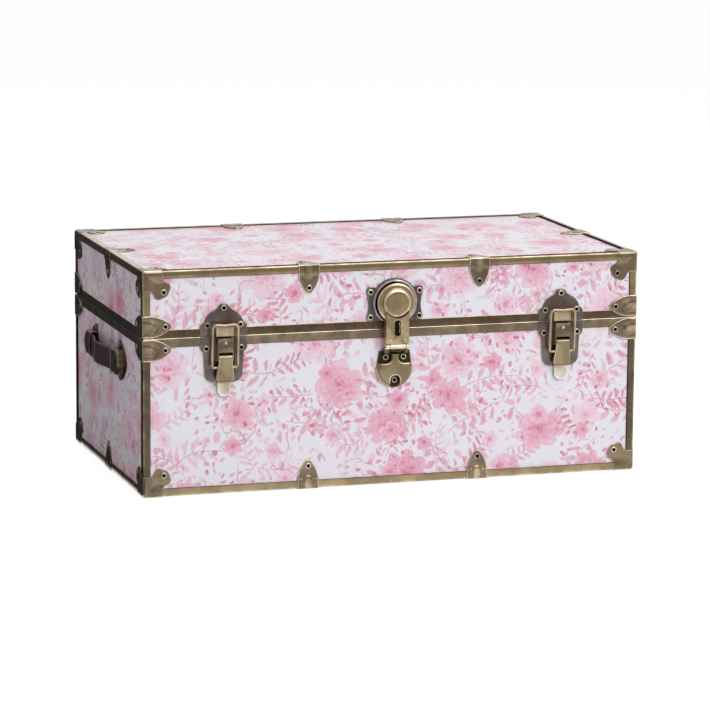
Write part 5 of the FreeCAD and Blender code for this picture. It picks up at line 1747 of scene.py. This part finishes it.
@dataclass(frozen=True)
class DrawBolts(Fitting):
    """The two draw bolts on the front: plates, keeper, bracket, lever and wire bail."""

    across: float = 276.5
    plate: float = 3.0
    pin_depth: float = 12.0
    pin_drop: float = 32.4
    barrel: float = 4.5
    top_half: float = 11.0
    foot_half: float = 14.6
    foot_drop: float = 70.0
    foot_depth: float = 12.2
    foot_notch: float = 2.6
    foot_ease: float = 1.4
    shoulder: float = 1.6
    channel: float = 6.5
    tab_half: float = 10.5
    tab_top: float = 8.0
    tab_drop: float = 94.0
    tab_back: float = 4.4
    tab_front: float = 6.0
    tab_shade: float = 3.5
    wire: float = 2.15
    bail_side: float = 20.35
    bail_height: float = 67.0
    bail_drop: float = 48.0
    bail_foot: float = 10.2
    bail_lean: float = 3.4
    bail_bend: float = 7.0
    bail_turn: float = 4.0
    bail_toe: float = 9.0
    bail_dip: float = 1.1
    bracket_front: float = 15.0
    dimple_drop: float = 9.2
    # The dimple's dome takes a painted highlight, its foot painted shade.
    dimple: Profile = (
        (2.5, 0.0, -0.5), (2.3, 0.35, 0.0), (1.7, 0.75, 0.5), (0.9, 0.98, 0.6), (0.0, 1.05, 0.6)
    )
    lid_rivets: Steps = ((26.4, 17.4), (-26.4, 17.4), (0.0, 44.0))
    base_rivets: Steps = ((28.0, -18.7), (-28.0, -18.7))

    def lever(self) -> Shape:
        """The lever: a channel that flares and thins towards its foot, rolled over its pin at the top.

        Each ring is a flat front with rounded shoulders; its half width grows smoothly on the way down
        and is nipped in at the foot's corners.

        Returns:
            The barrel and the channel as one surface.
        """
        foot = self.foot_drop - np.array([self.foot_notch + 0.1, self.foot_notch, 1.2, 0.4, 0.0])
        drop = np.concatenate([np.linspace(self.pin_drop, self.foot_drop - 4.0, 12), foot])
        share = (drop - self.pin_drop) / (self.foot_drop - self.pin_drop)
        low = soft_step(drop, self.foot_drop - self.foot_ease, self.foot_drop)
        front = self.pin_depth + self.barrel + (self.foot_depth - self.pin_depth - self.barrel) * share
        front -= 1.2 * low
        half = self.top_half + (self.foot_half - self.top_half) * soft_step(share, 0.05, 1.0)
        half -= self.foot_notch * (drop > self.foot_drop - self.foot_notch - 0.05)
        turn = np.linspace(0, math.pi / 2, 5)
        shoulder = np.column_stack([np.sin(turn) - 1, 1 - np.cos(turn)]) * self.shoulder
        right = np.concatenate([shoulder, [[0.0, self.channel]]])
        inset, back = np.concatenate([right, right[::-1]]).T
        sign = np.repeat([1.0, -1.0], len(right))
        x = sign * (half[:, None] + inset)
        depth = front[:, None] - back
        points = np.stack([x, -depth, np.broadcast_to(-drop[:, None], x.shape)], axis=-1)
        # Painted highlight on the shoulders of the channel, and painted shade at the foot.
        edge = 0.7 * np.isin(np.arange(len(sign)), [1, 2, len(sign) - 2, len(sign) - 3])
        wear_and_shading = edge * (1 - low[:, None]) - low[:, None] * 0.9
        roll = rod(self.barrel, -self.top_half, self.top_half, 0.5, 0.2)
        roll = roll.moved(STRAIGHT, (0, -self.pin_depth, -self.pin_drop))
        return Shape.joined([Shape.closed(points, wear_and_shading), roll])

    def tab_face(self, spots: Spots) -> Pair:
        """Height, and rubbing with painted light and shade, of the tab, with painted shade close under the
        lever's foot.

        Args:
            spots: Points of the tab.

        Returns:
            The height, and the rubbing with painted light and shade.
        """
        lift, wear_and_shading = Border.ROLL.at(spots.depth)
        shade = soft_step(spots.z, -self.foot_drop - self.tab_shade, -self.foot_drop)
        return self.tab_front + 0.5 * lift, (wear_and_shading + 0.45) * (1 - shade) - shade

    def tab(self) -> Shape:
        """The rounded finger tab that sticks out under the lever's foot.

        Returns:
            The closed tab.
        """
        top, half = self.tab_top - self.foot_drop, self.tab_half
        centre = half - self.tab_drop
        bow = half * HALF_ROOT
        edge = traced([
            (-half, top),
            (-half, centre),
            (-bow, centre - bow, 0.0, -self.tab_drop),
            (bow, centre - bow, half, centre),
            (half, top),
        ], 1.5)
        return relief(edge, (0.0, centre), 8, self.tab_face, self.tab_back).in_slot(1)

    def bail(self) -> Shape:
        """The wire loop: two feet turned in, two long sides and a bar with a slight dip in its middle.

        Returns:
            The closed wire.
        """
        side, top, bend, foot = self.bail_side, self.bail_height, self.bail_bend, self.bail_turn
        low, high = foot * HALF_ROOT, bend * HALF_ROOT
        half = traced([
            (self.bail_toe, 0.0),
            (side - foot, 0.0),
            (side - foot + low, foot - low, side, foot),
            (side, top - bend),
            (side - bend + high, top - bend + high, side - bend, top),
        ], 2.0, closed=False)
        bar = np.linspace(side - bend, bend - side, 14)[1:-1]
        dip = self.bail_dip * np.cos(bar / (side - bend) * math.pi / 2) ** 2
        flat = np.concatenate([half, np.column_stack([bar, top - dip]), half[::-1] * (-1, 1)])
        across, up = flat.T
        lean = self.bail_lean / top
        path = np.column_stack([across, -self.bail_foot - lean * up, up - self.bail_drop])
        return tube(path, (0.0, 1.0, lean), self.wire)

    def rivets(self) -> None:
        """Seat five rivets on each bolt."""
        sets = {"lid": self.lid_rivets, "base": self.base_rivets}
        for side in (-1, 1):
            for shell, spots in sets.items():
                rows = [(across, self.plate, height) for across, height in spots]
                self.heads.wall(shell, STRAIGHT, self.box.front(side * self.across), rows)

    def dress(self) -> None:
        """Ease the plates' edges and set the moving pieces on them."""
        dresser = self.dresser
        lever = Shape.joined([self.lever(), self.tab()])
        dimple = revolved(self.dimple, 20)
        dimple = dimple.moved(STRAIGHT, (0.0, -self.bracket_front, -self.dimple_drop))
        for side, sign in (("left", -1), ("right", 1)):
            place = (STRAIGHT, self.box.front(sign * self.across))
            # The rounded edges take a brighter finish: rubbing and a painted highlight.
            dresser.eased(f"{side}_catch_plate", Finish.PLATE, 0.6, Finish.EDGE)
            dresser.eased(f"{side}_latch_plate", Finish.PLATE, 0.6, Finish.EDGE)
            dresser.eased(f"{side}_keeper", Finish.KEEPER, 1.8, Finish.KEEPER)
            dresser.eased(f"{side}_latch_bracket", Finish.CAP, 0.7, Finish.PALE)
            dresser.replace(f"{side}_lever", [lever.moved(*place)], [Finish.LEVER, Finish.PALE])
            dresser.replace(f"{side}_bail", [self.bail().moved(*place)], [Finish.KEEPER])
            dot = dimple.moved(*place).mesh_object(f"{side}_bracket_dimple", [Finish.BRIGHT], CRISP)
            dresser.add_to(dot, f"{side}_latch_bracket")
        dresser.paint("lever_pins", Finish.PLATE)


@dataclass(frozen=True)
class Hasp(Fitting):
    """The hasp in the middle of the front: ring plate, hinged strap, round head and shield plate."""

    ring_centre: float = 41.0
    ring_radius: float = 34.0
    ring_half: float = 2.9
    ring_lift: float = 3.4
    ring_level: float = 3.0
    ring_rivets: tuple[float, ...] = (40.0, 18.6, 58.3)
    plate_reach: float = 38.0
    plate_start: float = math.radians(39.5)
    axis_depth: float = 15.0
    axis_drop: float = 27.2
    sleeve: float = 4.0
    sleeve_ends: Two = (-11.6, 13.6)
    sleeve_depth: float = 15.15
    fold_drop: float = 22.6
    fold_back: float = 1.9
    knuckle: float = 4.2
    knuckle_ends: Two = (-12.0, 14.0)
    arm: Two = (-12.0, -6.5)
    arm_drop: float = 38.0
    slot_level: float = 2.4
    slot_half: float = 5.4
    slot_reach: float = 13.0
    # Depths of a near-black sheet of painted shade behind the slot, and of a bright bead that paints the
    # highlight of the slot's inner wall.
    slot_shade_sheet: Two = (-16.9, -16.2)
    highlight_bead_depth: float = 17.2
    highlight_bead_radius: float = 1.1
    strap_half: float = 19.0
    strap_front: float = 19.0
    dimple_drop: float = 15.6
    dimple_across: float = 11.5
    # Each small dome takes a painted highlight on top and painted shade round its foot.
    dimple: Profile = (
        (2.3, -0.2, -0.8), (2.2, 0.05, -0.6), (1.5, 0.1, 1.0), (0.8, 0.16, 1.0), (0.0, 0.18, 1.0)
    )
    # Painted highlights on the rounded edge of the flange and the disc's shoulder, painted shade in the
    # step between them.
    disc: Profile = (
        (0.0, 7.6, 0.0), (30.4, 7.6, -0.6), (31.2, 8.4, -0.4), (31.2, 11.0, 0.1), (30.8, 12.1, 0.5),
        (29.8, 12.8, 0.5), (28.0, 13.2, 0.25), (26.0, 13.4, 0.1), (24.2, 13.5, -0.05),
        (23.3, 13.6, -0.45), (22.9, 14.4, -0.15), (22.6, 15.2, 0.2), (21.9, 16.2, 0.5),
        (20.8, 17.0, 0.6), (19.2, 17.55, 0.45), (17.3, 17.8, 0.1), (14.5, 17.85, -0.15),
        (9.0, 17.92, -0.1), (0.0, 18.0, -0.05),
    )
    shield_half: float = 30.0
    shield_wide: float = 63.0
    shield_bottom: float = 94.0
    shield_top: float = 36.0
    shield_middle: float = 66.0
    shield_heart: float = 64.0
    flange: float = 2.6
    rise: float = 8.5
    dome: float = 0.9
    well: float = 8.6
    well_x: float = 14.6
    well_drop: float = 45.6
    low_well: float = 7.2
    low_drop: float = 82.0

    def ring_face(self, spots: Spots) -> Pair:
        """Height, and rubbing with painted light and shade, of the ring plate, with the ring as a
        half-round swell.

        Args:
            spots: Points of the plate.

        Returns:
            The height, and the rubbing with painted light and shade.
        """
        lift, wear_and_shading = Border.ROLL.at(spots.depth)
        away = (np.hypot(spots.x, spots.z - self.ring_centre) - self.ring_radius) / self.ring_half
        swell = np.sqrt(np.clip(1 - away ** 2, 0.0, 1.0))
        # Painted shade inside the ring and in a gutter round it, and a painted highlight on its crest.
        inside = 1 - soft_step(away, -1.2, -0.8)
        gutter = np.exp(-((away - 1.3) / 0.4) ** 2)
        wear_and_shading = np.maximum(wear_and_shading, 0.75 * swell ** 2) - 0.9 * inside - 0.45 * gutter
        return self.ring_level + lift * (swell < 0.1) + self.ring_lift * swell, wear_and_shading

    def ring_plate(self) -> Shape:
        """The plate behind the head: a fan about the ring's centre.

        Returns:
            The closed plate.
        """
        reach, start, centre = self.plate_reach, self.plate_start, self.ring_centre
        bow = (start + math.pi / 2) / 2
        edge = traced(mirrored([
            (0.0, 13.0),
            (40.0, 13.0),
            (45.0, 14.4, 46.4, 18.6),
            (42.8, 38.2, 46.4, 55.5),
            (46.4, 58.3),
            (45.0, 63.9, 40.0, 66.7),
            (reach * math.cos(start), centre + reach * math.sin(start)),
            (reach * math.cos(bow), centre + reach * math.sin(bow), 0.0, centre + reach),
        ]), 1.2)
        return relief(edge, (0.0, centre), 44, self.ring_face)

    def head(self) -> Shape:
        """The round head: a flange with an eased edge and a disc with a broad rounded shoulder."""
        return revolved(self.disc, 72).moved(STRAIGHT, (0.0, 0.0, self.ring_centre))

    def folded(self, points: Array) -> Array:
        """The strap's points with those under its face set back, so that the sleeve stands out."""
        under = points[:, 2] < self.box.split - self.fold_drop
        return points + np.outer(under, (0.0, self.fold_back, 0.0))

    def strap_details(self) -> Shape:
        """The rolled sleeve of the strap round its pin, two small domes above it, painted shade behind the
        slot and a bright bead that paints the highlight of the slot's inner wall.

        Returns:
            The sleeve, the near-black sheet of painted shade, the bright bead of the slot and the domes as
            one surface.
        """
        sleeve = rod(self.sleeve, *self.sleeve_ends, 0.5, 0.6)
        sleeve = sleeve.moved(STRAIGHT, (0.0, -self.sleeve_depth, -self.axis_drop))
        half, level, (near, far) = self.slot_half, self.slot_level, self.slot_shade_sheet
        # A near-black sheet behind the slot: painted shade.
        lining = softened(np.array([[-half, near], [half, near], [half, far], [-half, far]]), 0.2)
        lining = carried(lining, (level - self.slot_reach, level + self.slot_reach)).in_slot(1)
        # A bright bead along the slot's right side: a painted highlight of its inner wall.
        bow = traced([(2.4, -7.0), (4.1, 0.0, 2.4, 8.5)], 1.2, closed=False)
        lip = np.column_stack([bow[:, 0], np.full(len(bow), -self.highlight_bead_depth), bow[:, 1] + level])
        lip = tube(lip, (0.0, 1.0, 0.0), self.highlight_bead_radius)
        dome = revolved(self.dimple, 16)
        spots = [(sign * self.dimple_across, -self.strap_front, -self.dimple_drop) for sign in (-1, 1)]
        return Shape.joined([sleeve, lining, lip, *[dome.moved(STRAIGHT, spot) for spot in spots]])

    def shield_face(self, spots: Spots) -> Pair:
        """Height, and rubbing with painted light and shade, of the shield: a pillow over a flat border,
        sunk to three wells for rivets.

        The height is the flange's plus the pillow's, which rises smoothly from the border and falls again
        at the wells: two open to the sides and one open to the foot.

        Args:
            spots: Points of the plate.

        Returns:
            The height, and the rubbing with painted light and shade.
        """
        x, z, depth = spots.x, spots.z, spots.depth
        lift, wear_and_shading = Border.ROLL.at(depth)
        side = np.hypot(np.maximum(self.well_x - np.abs(x), 0.0), z + self.well_drop) - self.well
        foot = np.hypot(x, np.maximum(z + self.low_drop, 0.0)) - self.low_well
        sunk = np.minimum(side, foot)
        open_top = soft_step(z, -self.shield_top - 3.0, -self.shield_top)
        border = np.maximum(soft_step(depth, 2.2, 5.6), open_top)
        raised = border * soft_step(sunk, -0.8, 1.4)
        half = self.shield_half
        away = (x / half) ** 2 + ((z + self.shield_middle) / half) ** 2
        dome = self.dome * np.clip(1 - away, 0.0, 1.0)
        height = self.flange + lift + (self.rise - self.flange) * raised + dome * raised
        # Painted highlight on the lower lips of the wells; painted shade in the wells, on the upper part
        # under the strap and on the border's slope.
        lip = np.exp(-((sunk - 1.9) / 1.1) ** 2) * soft_step(-z, 47.0, 52.0)
        floor = 1 - soft_step(sunk, -0.6, 0.9)
        neck = soft_step(z, -52.0, -46.0)
        slope = np.exp(-((depth - 3.2) / 1.1) ** 2)
        wear_and_shading = wear_and_shading + 0.85 * lip * border - 0.95 * floor - 0.3 * neck * (1 - floor) - 0.35 * slope
        return height, wear_and_shading

    def shield(self) -> Shape:
        """The shield plate with its two hinge knuckles and the arms that carry them.

        Returns:
            The closed pieces as one surface.
        """
        half, wide = self.shield_half, self.shield_wide
        bottom, top = self.shield_bottom, self.shield_top
        fall = (bottom - wide) * HALF_ROOT
        edge = traced(mirrored([
            (0.0, -bottom),
            (half * HALF_ROOT, -wide - fall, half, -wide),
            (27.4, -50.0, 25.0, -top),
            (0.0, -top),
        ]), 1.1)
        shapes = [relief(edge, (0.0, -self.shield_heart), 48, self.shield_face)]
        near, far = self.arm
        left, right = self.knuckle_ends
        for start, stop in ((-self.strap_half, left), (right, self.strap_half)):
            eye = rod(self.knuckle, start, stop, 0.5, 0.8)
            bar = softened(np.array([[start, near], [stop, near], [stop, far], [start, far]]), 0.7)
            shapes.append(eye.moved(STRAIGHT, (0.0, -self.axis_depth, -self.axis_drop)))
            shapes.append(carried(bar, (-self.arm_drop, -self.axis_drop), -0.4))
        return Shape.joined(shapes)

    def rivets(self) -> None:
        """Seat four rivets on the ring plate and three in the shield's wells."""
        across, *heights = self.ring_rivets
        rows = [(x, self.ring_level, z) for x in (-across, across) for z in heights]
        self.heads.wall("lid", STRAIGHT, self.box.front(), rows)
        rows = [(sign * self.well_x, self.flange, -self.well_drop) for sign in (-1, 1)]
        rows.append((0.0, self.flange, -self.low_drop))
        self.heads.wall("base", STRAIGHT, self.box.front(), rows)

    def dress(self) -> None:
        """Set the plate, the head and the shield, and ease the strap's edges."""
        dresser = self.dresser
        place = (STRAIGHT, self.box.front())
        dresser.replace("hasp_ring_plate", [self.ring_plate().moved(*place)], [Finish.RING], SMOOTH)
        dresser.replace("hasp_head", [self.head().moved(*place)], [Finish.HEAD], SMOOTH)
        dresser.replace("hasp_shield_plate", [self.shield().moved(*place)], [Finish.LEVER], SMOOTH)
        dresser.eased("hasp_strap", Finish.HEAD, 0.7, Finish.BRIGHT, self.folded)
        details = self.strap_details().moved(*place)
        piece = details.mesh_object("hasp_strap_sleeve", [Finish.BRIGHT, Finish.HOLLOW], CRISP)
        dresser.add_to(piece, "hasp_strap")
        dresser.paint("hasp_pin", Finish.BRIGHT)


@dataclass(frozen=True)
class Handles(Fitting):
    """A bowed leather strap on each end, its ends held under hooded caps."""

    height: float = 191.0
    plate: float = 2.4
    plate_heart: float = 90.0
    mouth: float = 71.0
    mouth_roll: float = 0.7
    hood_middle: float = 98.0
    hood_heart: float = 90.7
    hood_end: float = 112.0
    hood_half: float = 20.0
    hood_height: float = 15.2
    hood_round: float = 5.0
    hood_sheet: float = 1.2
    # Rubbing of each row of a hood, from its lip to its top: painted shade at its foot and a painted
    # highlight along its rounded top edge.
    crease: tuple[float, ...] = (-0.3, -0.3, -0.2, 0.0, 0.4, 0.9, 0.9, 0.5, 0.1, 0.0, 0.0)
    thick: float = 4.6
    half: float = 16.8
    end: float = 90.0
    bend: float = 70.0
    bend_depth: float = 11.2
    bow_depth: float = 20.0
    clearance: float = 0.3
    rivet_along: float = 80.5
    rivet_up: float = 24.8

    def walls(self) -> dict[str, Seat]:
        """Turn and place of the handle on each end."""
        x = self.box.half_x
        return {"left": (LEFT, (-x, 0.0, self.height)), "right": (RIGHT, (x, 0.0, self.height))}

    def strap(self) -> Shape:
        """A rounded band carried along the bow, whose depth rises smoothly between the bends.

        Returns:
            The closed strap in the wall's own frame.
        """
        seat = self.plate + self.clearance + self.thick / 2
        run = np.linspace(-self.end, self.end, 61)
        rise = soft_step(self.bend - np.abs(run), 0.0, self.bend)
        depth = self.bend_depth + (self.bow_depth - self.bend_depth) * rise
        depth -= (self.bend_depth - seat) * soft_step(np.abs(run), self.bend + 6.0, self.end)
        bow = np.column_stack([run, depth])
        way = np.gradient(bow, axis=0)
        way /= np.linalg.norm(way, axis=1, keepdims=True)
        out = np.column_stack([-way[:, 1], way[:, 0]])
        half, thick = self.half, self.thick / 2
        corners = np.array([
            [-half, -thick], [half, -thick], [half, thick], [half - 2.4, thick],
            [half - 3.2, thick - 0.5], [3.2 - half, thick - 0.5], [2.4 - half, thick], [-half, thick],
        ])
        loop = softened(corners, [1.4, 1.4, 1.4, 0.4, 0.35, 0.35, 0.4, 1.4])
        # Lighter along the edges of the outer face: rubbing and a painted highlight.
        wear_and_shading = np.exp(-((np.abs(loop[:, 0]) - half) / 1.2) ** 2) * (loop[:, 1] > 0)
        along, deep = np.moveaxis(bow[:, None] + out[:, None] * loop[None, :, 1:], -1, 0)
        points = np.stack(np.broadcast_arrays(along, -deep, loop[None, :, 0]), axis=-1)
        return Shape.closed(points, wear_and_shading)

    def hood(self, shrink: float) -> Array:
        """One skin of the hood over a strap's end: walls along a round-ended path, eased into a top.

        Args:
            shrink: Distance of the skin inside the outer one.

        Returns:
            Points from the plate up to the middle of the top by points along the path.
        """
        half, middle = self.hood_half - shrink, self.hood_middle
        path = traced([
            (self.mouth, -half),
            (middle, -half),
            (self.hood_end - shrink, 0.0, middle, half),
            (self.mouth, half),
        ], 2.0, closed=False)
        heart = np.column_stack([np.minimum(path[:, 0], self.hood_heart), np.zeros(len(path))])
        inward = heart - path
        reach = np.linalg.norm(inward, axis=1)
        angle = np.linspace(0.0, math.pi / 2, 7)
        ease = self.hood_round - shrink
        inset = np.concatenate([[0.0], ease * (1 - np.cos(angle)), [0.5 * half, half]])
        high = self.hood_height - shrink
        depth = np.concatenate([[self.plate], high - ease + ease * np.sin(angle), [high, high]])
        share = np.minimum(inset[:, None] / reach, 1.0)
        share[-1] = 1.0
        flat = path + share[..., None] * inward
        spots = np.broadcast_arrays(flat[..., 0], -depth[:, None], flat[..., 1])
        return np.stack(spots, axis=-1)

    def cap_face(self, spots: Spots) -> Pair:
        """Height, and rubbing with painted light and shade, of a cap's plate."""
        lift, wear_and_shading = Border.ROLL.at(spots.depth)
        return self.plate + 0.6 * lift, wear_and_shading

    def cap(self) -> Shape:
        """An end cap: pointed plate, thin hood with an open mouth and the mouth's rolled edge.

        Returns:
            The pieces as one surface.
        """
        edge = traced([
            (self.mouth, -self.hood_half),
            (76.0, -32.0),
            (104.5, -21.0, 120.5, 0.0),
            (104.5, 21.0, 76.0, 32.0),
            (self.mouth, self.hood_half),
        ], 1.6)
        plate = relief(edge, (self.plate_heart, 0.0), 12, self.cap_face)
        outer, inner = self.hood(0.0), self.hood(self.hood_sheet)
        inner = inner[:, np.linspace(0, inner.shape[1] - 1, outer.shape[1]).round().astype(int)]
        rings = np.concatenate([outer, inner[:, ::-1]], axis=1)
        lip = (rings[:1] + rings[:1, ::-1]) / 2
        hood = Shape.grid(np.concatenate([lip, rings]), True, np.array(self.crease)[:, None])
        mouth = np.concatenate([outer[:, 0], outer[-2::-1, -1]])
        # The mouth's roll takes the brighter edge finish as a painted highlight.
        roll = tube(mouth, (1.0, 0.0, 0.0), self.mouth_roll, 10).in_slot(1)
        return Shape.joined([plate, hood, roll])

    def rivets(self) -> None:
        """Seat two rivets on each cap of both handles."""
        along, up = (-self.rivet_along, self.rivet_along), (-self.rivet_up, self.rivet_up)
        rows = [(x, self.plate, z) for x in along for z in up]
        for turn, place in self.walls().values():
            self.heads.wall("base", turn, place, rows)

    def dress(self) -> None:
        """Lay the straps and set the caps over their ends."""
        strap, cap = self.strap(), self.cap()
        ends = (STRAIGHT, turned((0, 1, 0), 180))
        for side, (turn, place) in self.walls().items():
            band, name = strap.moved(turn, place), f"{side}_strap_dressed"
            self.dresser.replace(f"{side}_handle_strap", [band], [Finish.LEATHER], name=name)
            caps = [cap.moved(turn @ end, place) for end in ends]
            self.dresser.replace(f"{side}_handle_caps", caps, [Finish.HOOD, Finish.EDGE], SMOOTH)


@dataclass(frozen=True)
class Hinges(Fitting):
    """Two barrel hinges on the back."""

    across: float = 240.0
    leaf: float = 3.0
    rivet_spots: Steps = ((-20.0, 18.0), (20.0, 18.0), (0.0, 36.0))

    def rivets(self) -> None:
        """Seat three rivets on each leaf."""
        for side in (-1, 1):
            place = (side * self.across, self.box.half_y, self.box.split)
            for shell, sign in (("base", -1), ("lid", 1)):
                rows = [(across, self.leaf, height * sign) for across, height in self.rivet_spots]
                self.heads.wall(shell, BACK, place, rows)

    def dress(self) -> None:
        """Ease the leaves' edges."""
        self.dresser.eased("hinge_base_leaves", Finish.PLATE, 0.5, Finish.EDGE)
        self.dresser.eased("hinge_lid_leaves", Finish.PLATE, 0.5, Finish.EDGE)
        self.dresser.paint("hinge_pins", Finish.PLATE)


@dataclass(frozen=True)
class Studio:
    """A white floor, soft boxes, dark cards that only mirrors see, and the camera of the picture."""

    eye: Spot = (-1718.135, -5466.824, 1209.128)
    yaw: float = 17.517
    pitch: float = -10.313
    roll: float = 0.459
    focal_pixels: float = 3585.273
    picture_pixels: float = 710.0
    sensor: float = 36.0
    floor_side: float = 30.0
    floor_tone: float = 0.85
    floor_glow: float = 0.86
    floor_veil: float = 0.34
    world_level: float = 0.42
    aim: Spot = (0.0, 0.0, 0.18)

    def camera(self) -> None:
        """Set the camera by its yaw, pitch and roll."""
        yaw, pitch, roll = (math.radians(angle) for angle in (self.yaw, self.pitch, self.roll))
        near = math.cos(pitch)
        ahead = Vector((math.sin(yaw) * near, math.cos(yaw) * near, math.sin(pitch)))
        level = Vector((math.cos(yaw), -math.sin(yaw), 0.0))
        up = level.cross(ahead)
        right = level * math.cos(roll) + up * math.sin(roll)
        top = up * math.cos(roll) - level * math.sin(roll)
        lens = bpy.data.cameras.new("camera")
        lens.sensor_width = self.sensor
        lens.lens = self.focal_pixels / self.picture_pixels * self.sensor
        lens.clip_end = 100.0
        thing = linked(bpy.data.objects.new("camera", lens))
        matrix = Matrix((right, top, -ahead)).transposed().to_4x4()
        matrix.translation = Vector(self.eye) * MM
        thing.matrix_world = matrix
        bpy.context.scene.camera = thing

    def soft_box(self, name: str, spot: Row, size: Row, watts: float) -> None:
        """A rectangular lamp aimed at the trunk.

        Args:
            name: Name of the lamp.
            spot: Place in metres.
            size: Width and height in metres.
            watts: Power.
        """
        lamp = bpy.data.lights.new(name, "AREA")
        lamp.shape = "RECTANGLE"
        lamp.size, lamp.size_y = size
        lamp.energy = watts
        thing = linked(bpy.data.objects.new(name, lamp))
        thing.location = spot
        aim = Vector(self.aim) - Vector(spot)
        thing.rotation_euler = aim.to_track_quat("-Z", "Y").to_euler()

    def world(self) -> None:
        """White where it is seen or mirrored, and a plain soft level where it lights."""
        world = bpy.data.worlds.new("studio")
        tree = NodeTree(world)
        soft = tree.add("ShaderNodeBackground", None, {"Strength": self.world_level})
        white = tree.add("ShaderNodeBackground", None, {"Strength": 1.0})
        pick = tree.add("ShaderNodeMixShader", None, {0: tree.seen(), 1: soft, 2: white})
        tree.feed(tree.nodes.new("ShaderNodeOutputWorld").inputs["Surface"], pick)
        bpy.context.scene.world = world

    def sheet(self, name: str, corners: Rows, material: Material) -> Object:
        """A flat piece of the stage.

        Args:
            name: Its name.
            corners: Its four corners in metres.
            material: Its material.

        Returns:
            The new object.
        """
        mesh = bpy.data.meshes.new(name)
        mesh.from_pydata(corners, [], [(0, 1, 2, 3)])
        mesh.materials.append(material)
        thing = linked(bpy.data.objects.new(name, mesh))
        return thing

    def floor(self) -> None:
        """A wide pale floor that keeps the trunk's soft shadow."""
        tree = FinishTree("floor_white")
        tree.done(Base_Color=(self.floor_tone,) * 3 + (1.0,), Roughness=0.9, Specular_IOR_Level=0.0)
        glow = tree.add("ShaderNodeEmission", None, {"Strength": self.floor_glow})
        veil = tree.add("ShaderNodeBsdfDiffuse", None, {"Color": (self.floor_veil,) * 3 + (1.0,)})
        pale = tree.add("ShaderNodeAddShader", None, {0: glow, 1: veil})
        base = Wire(tree, tree.shader.outputs["BSDF"])
        shown = tree.add("ShaderNodeMixShader", None, {0: tree.seen(), 1: base, 2: pale})
        tree.feed(tree.out.inputs["Surface"], shown)
        side = self.floor_side
        corners = [(-side, -side, 0), (side, -side, 0), (side, side, 0), (-side, side, 0)]
        self.sheet("floor", corners, tree.material)

    def card(self, name: str, start: Row, stop: Row, tone: str) -> None:
        """A dark card that neither shades nor shows, and that the metal mirrors.

        Args:
            name: Name of the card.
            start: One of its corners in metres.
            stop: The opposite corner; a card at one height lies flat, any other stands upright.
            tone: Its colour.
        """
        (left, near, low), (right, far, high) = start, stop
        if low == high:
            corners = [(left, near, low), (right, near, low), (right, far, low), (left, far, low)]
        else:
            corners = [(left, near, low), (right, far, low), (right, far, high), (left, near, high)]
        tree = FinishTree(f"{name}_finish")
        thing = self.sheet(name, corners, tree.done(Base_Color=ink(tone), Roughness=1.0))
        thing.visible_camera = False
        thing.visible_diffuse = False
        thing.visible_shadow = False

    def set_up(self) -> None:
        """Camera, world, floor, cards and lamps.

        The left end mirrors a low card and a rug beside it, and the front mirrors a dark room behind the
        camera with a cloth before it.
        """
        bpy.context.scene.view_settings.view_transform = "Standard"
        self.camera()
        self.world()
        self.floor()
        self.card("left_card", (-1.0, -0.5, 0.01), (-0.5, 1.9, 0.9), "3a3737")
        self.card("left_rug", (-1.7, -0.35, 0.004), (-0.4082, 2.0, 0.004), "3a3737")
        self.card("room_card", (-4.5, -6.4, 0.0), (4.5, -6.4, 1.5), "262424")
        self.card("cloth", (-4.5, -6.4, 0.004), (4.5, -1.7, 0.004), "4a4748")
        self.soft_box("front_box", (1.4, -3.4, 2.8), (3.0, 2.0), 92.0)
        self.soft_box("left_box", (-3.4, -0.4, 1.7), (1.8, 1.8), 6.0)
        self.soft_box("top_box", (0.2, 0.2, 3.2), (3.4, 2.6), 38.0)


def main() -> None:
    """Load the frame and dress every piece."""
    logging.basicConfig(level=logging.INFO, format="%(name)s: %(message)s")
    for thing in list(bpy.data.objects):
        bpy.data.objects.remove(thing)
    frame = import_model()
    Studio().set_up()
    dresser = Dresser(frame)
    box = Carcass()
    heads = Rivets()
    box.dress(dresser)
    for kind in (CornerCaps, WrapClips, DrawBolts, Hasp, Handles, Hinges, EdgeTrims, Rims):
        fitting = kind(box, dresser, heads)
        fitting.dress()
        fitting.rivets()
    heads.dress(dresser)


if __name__ == "__main__":
    main()
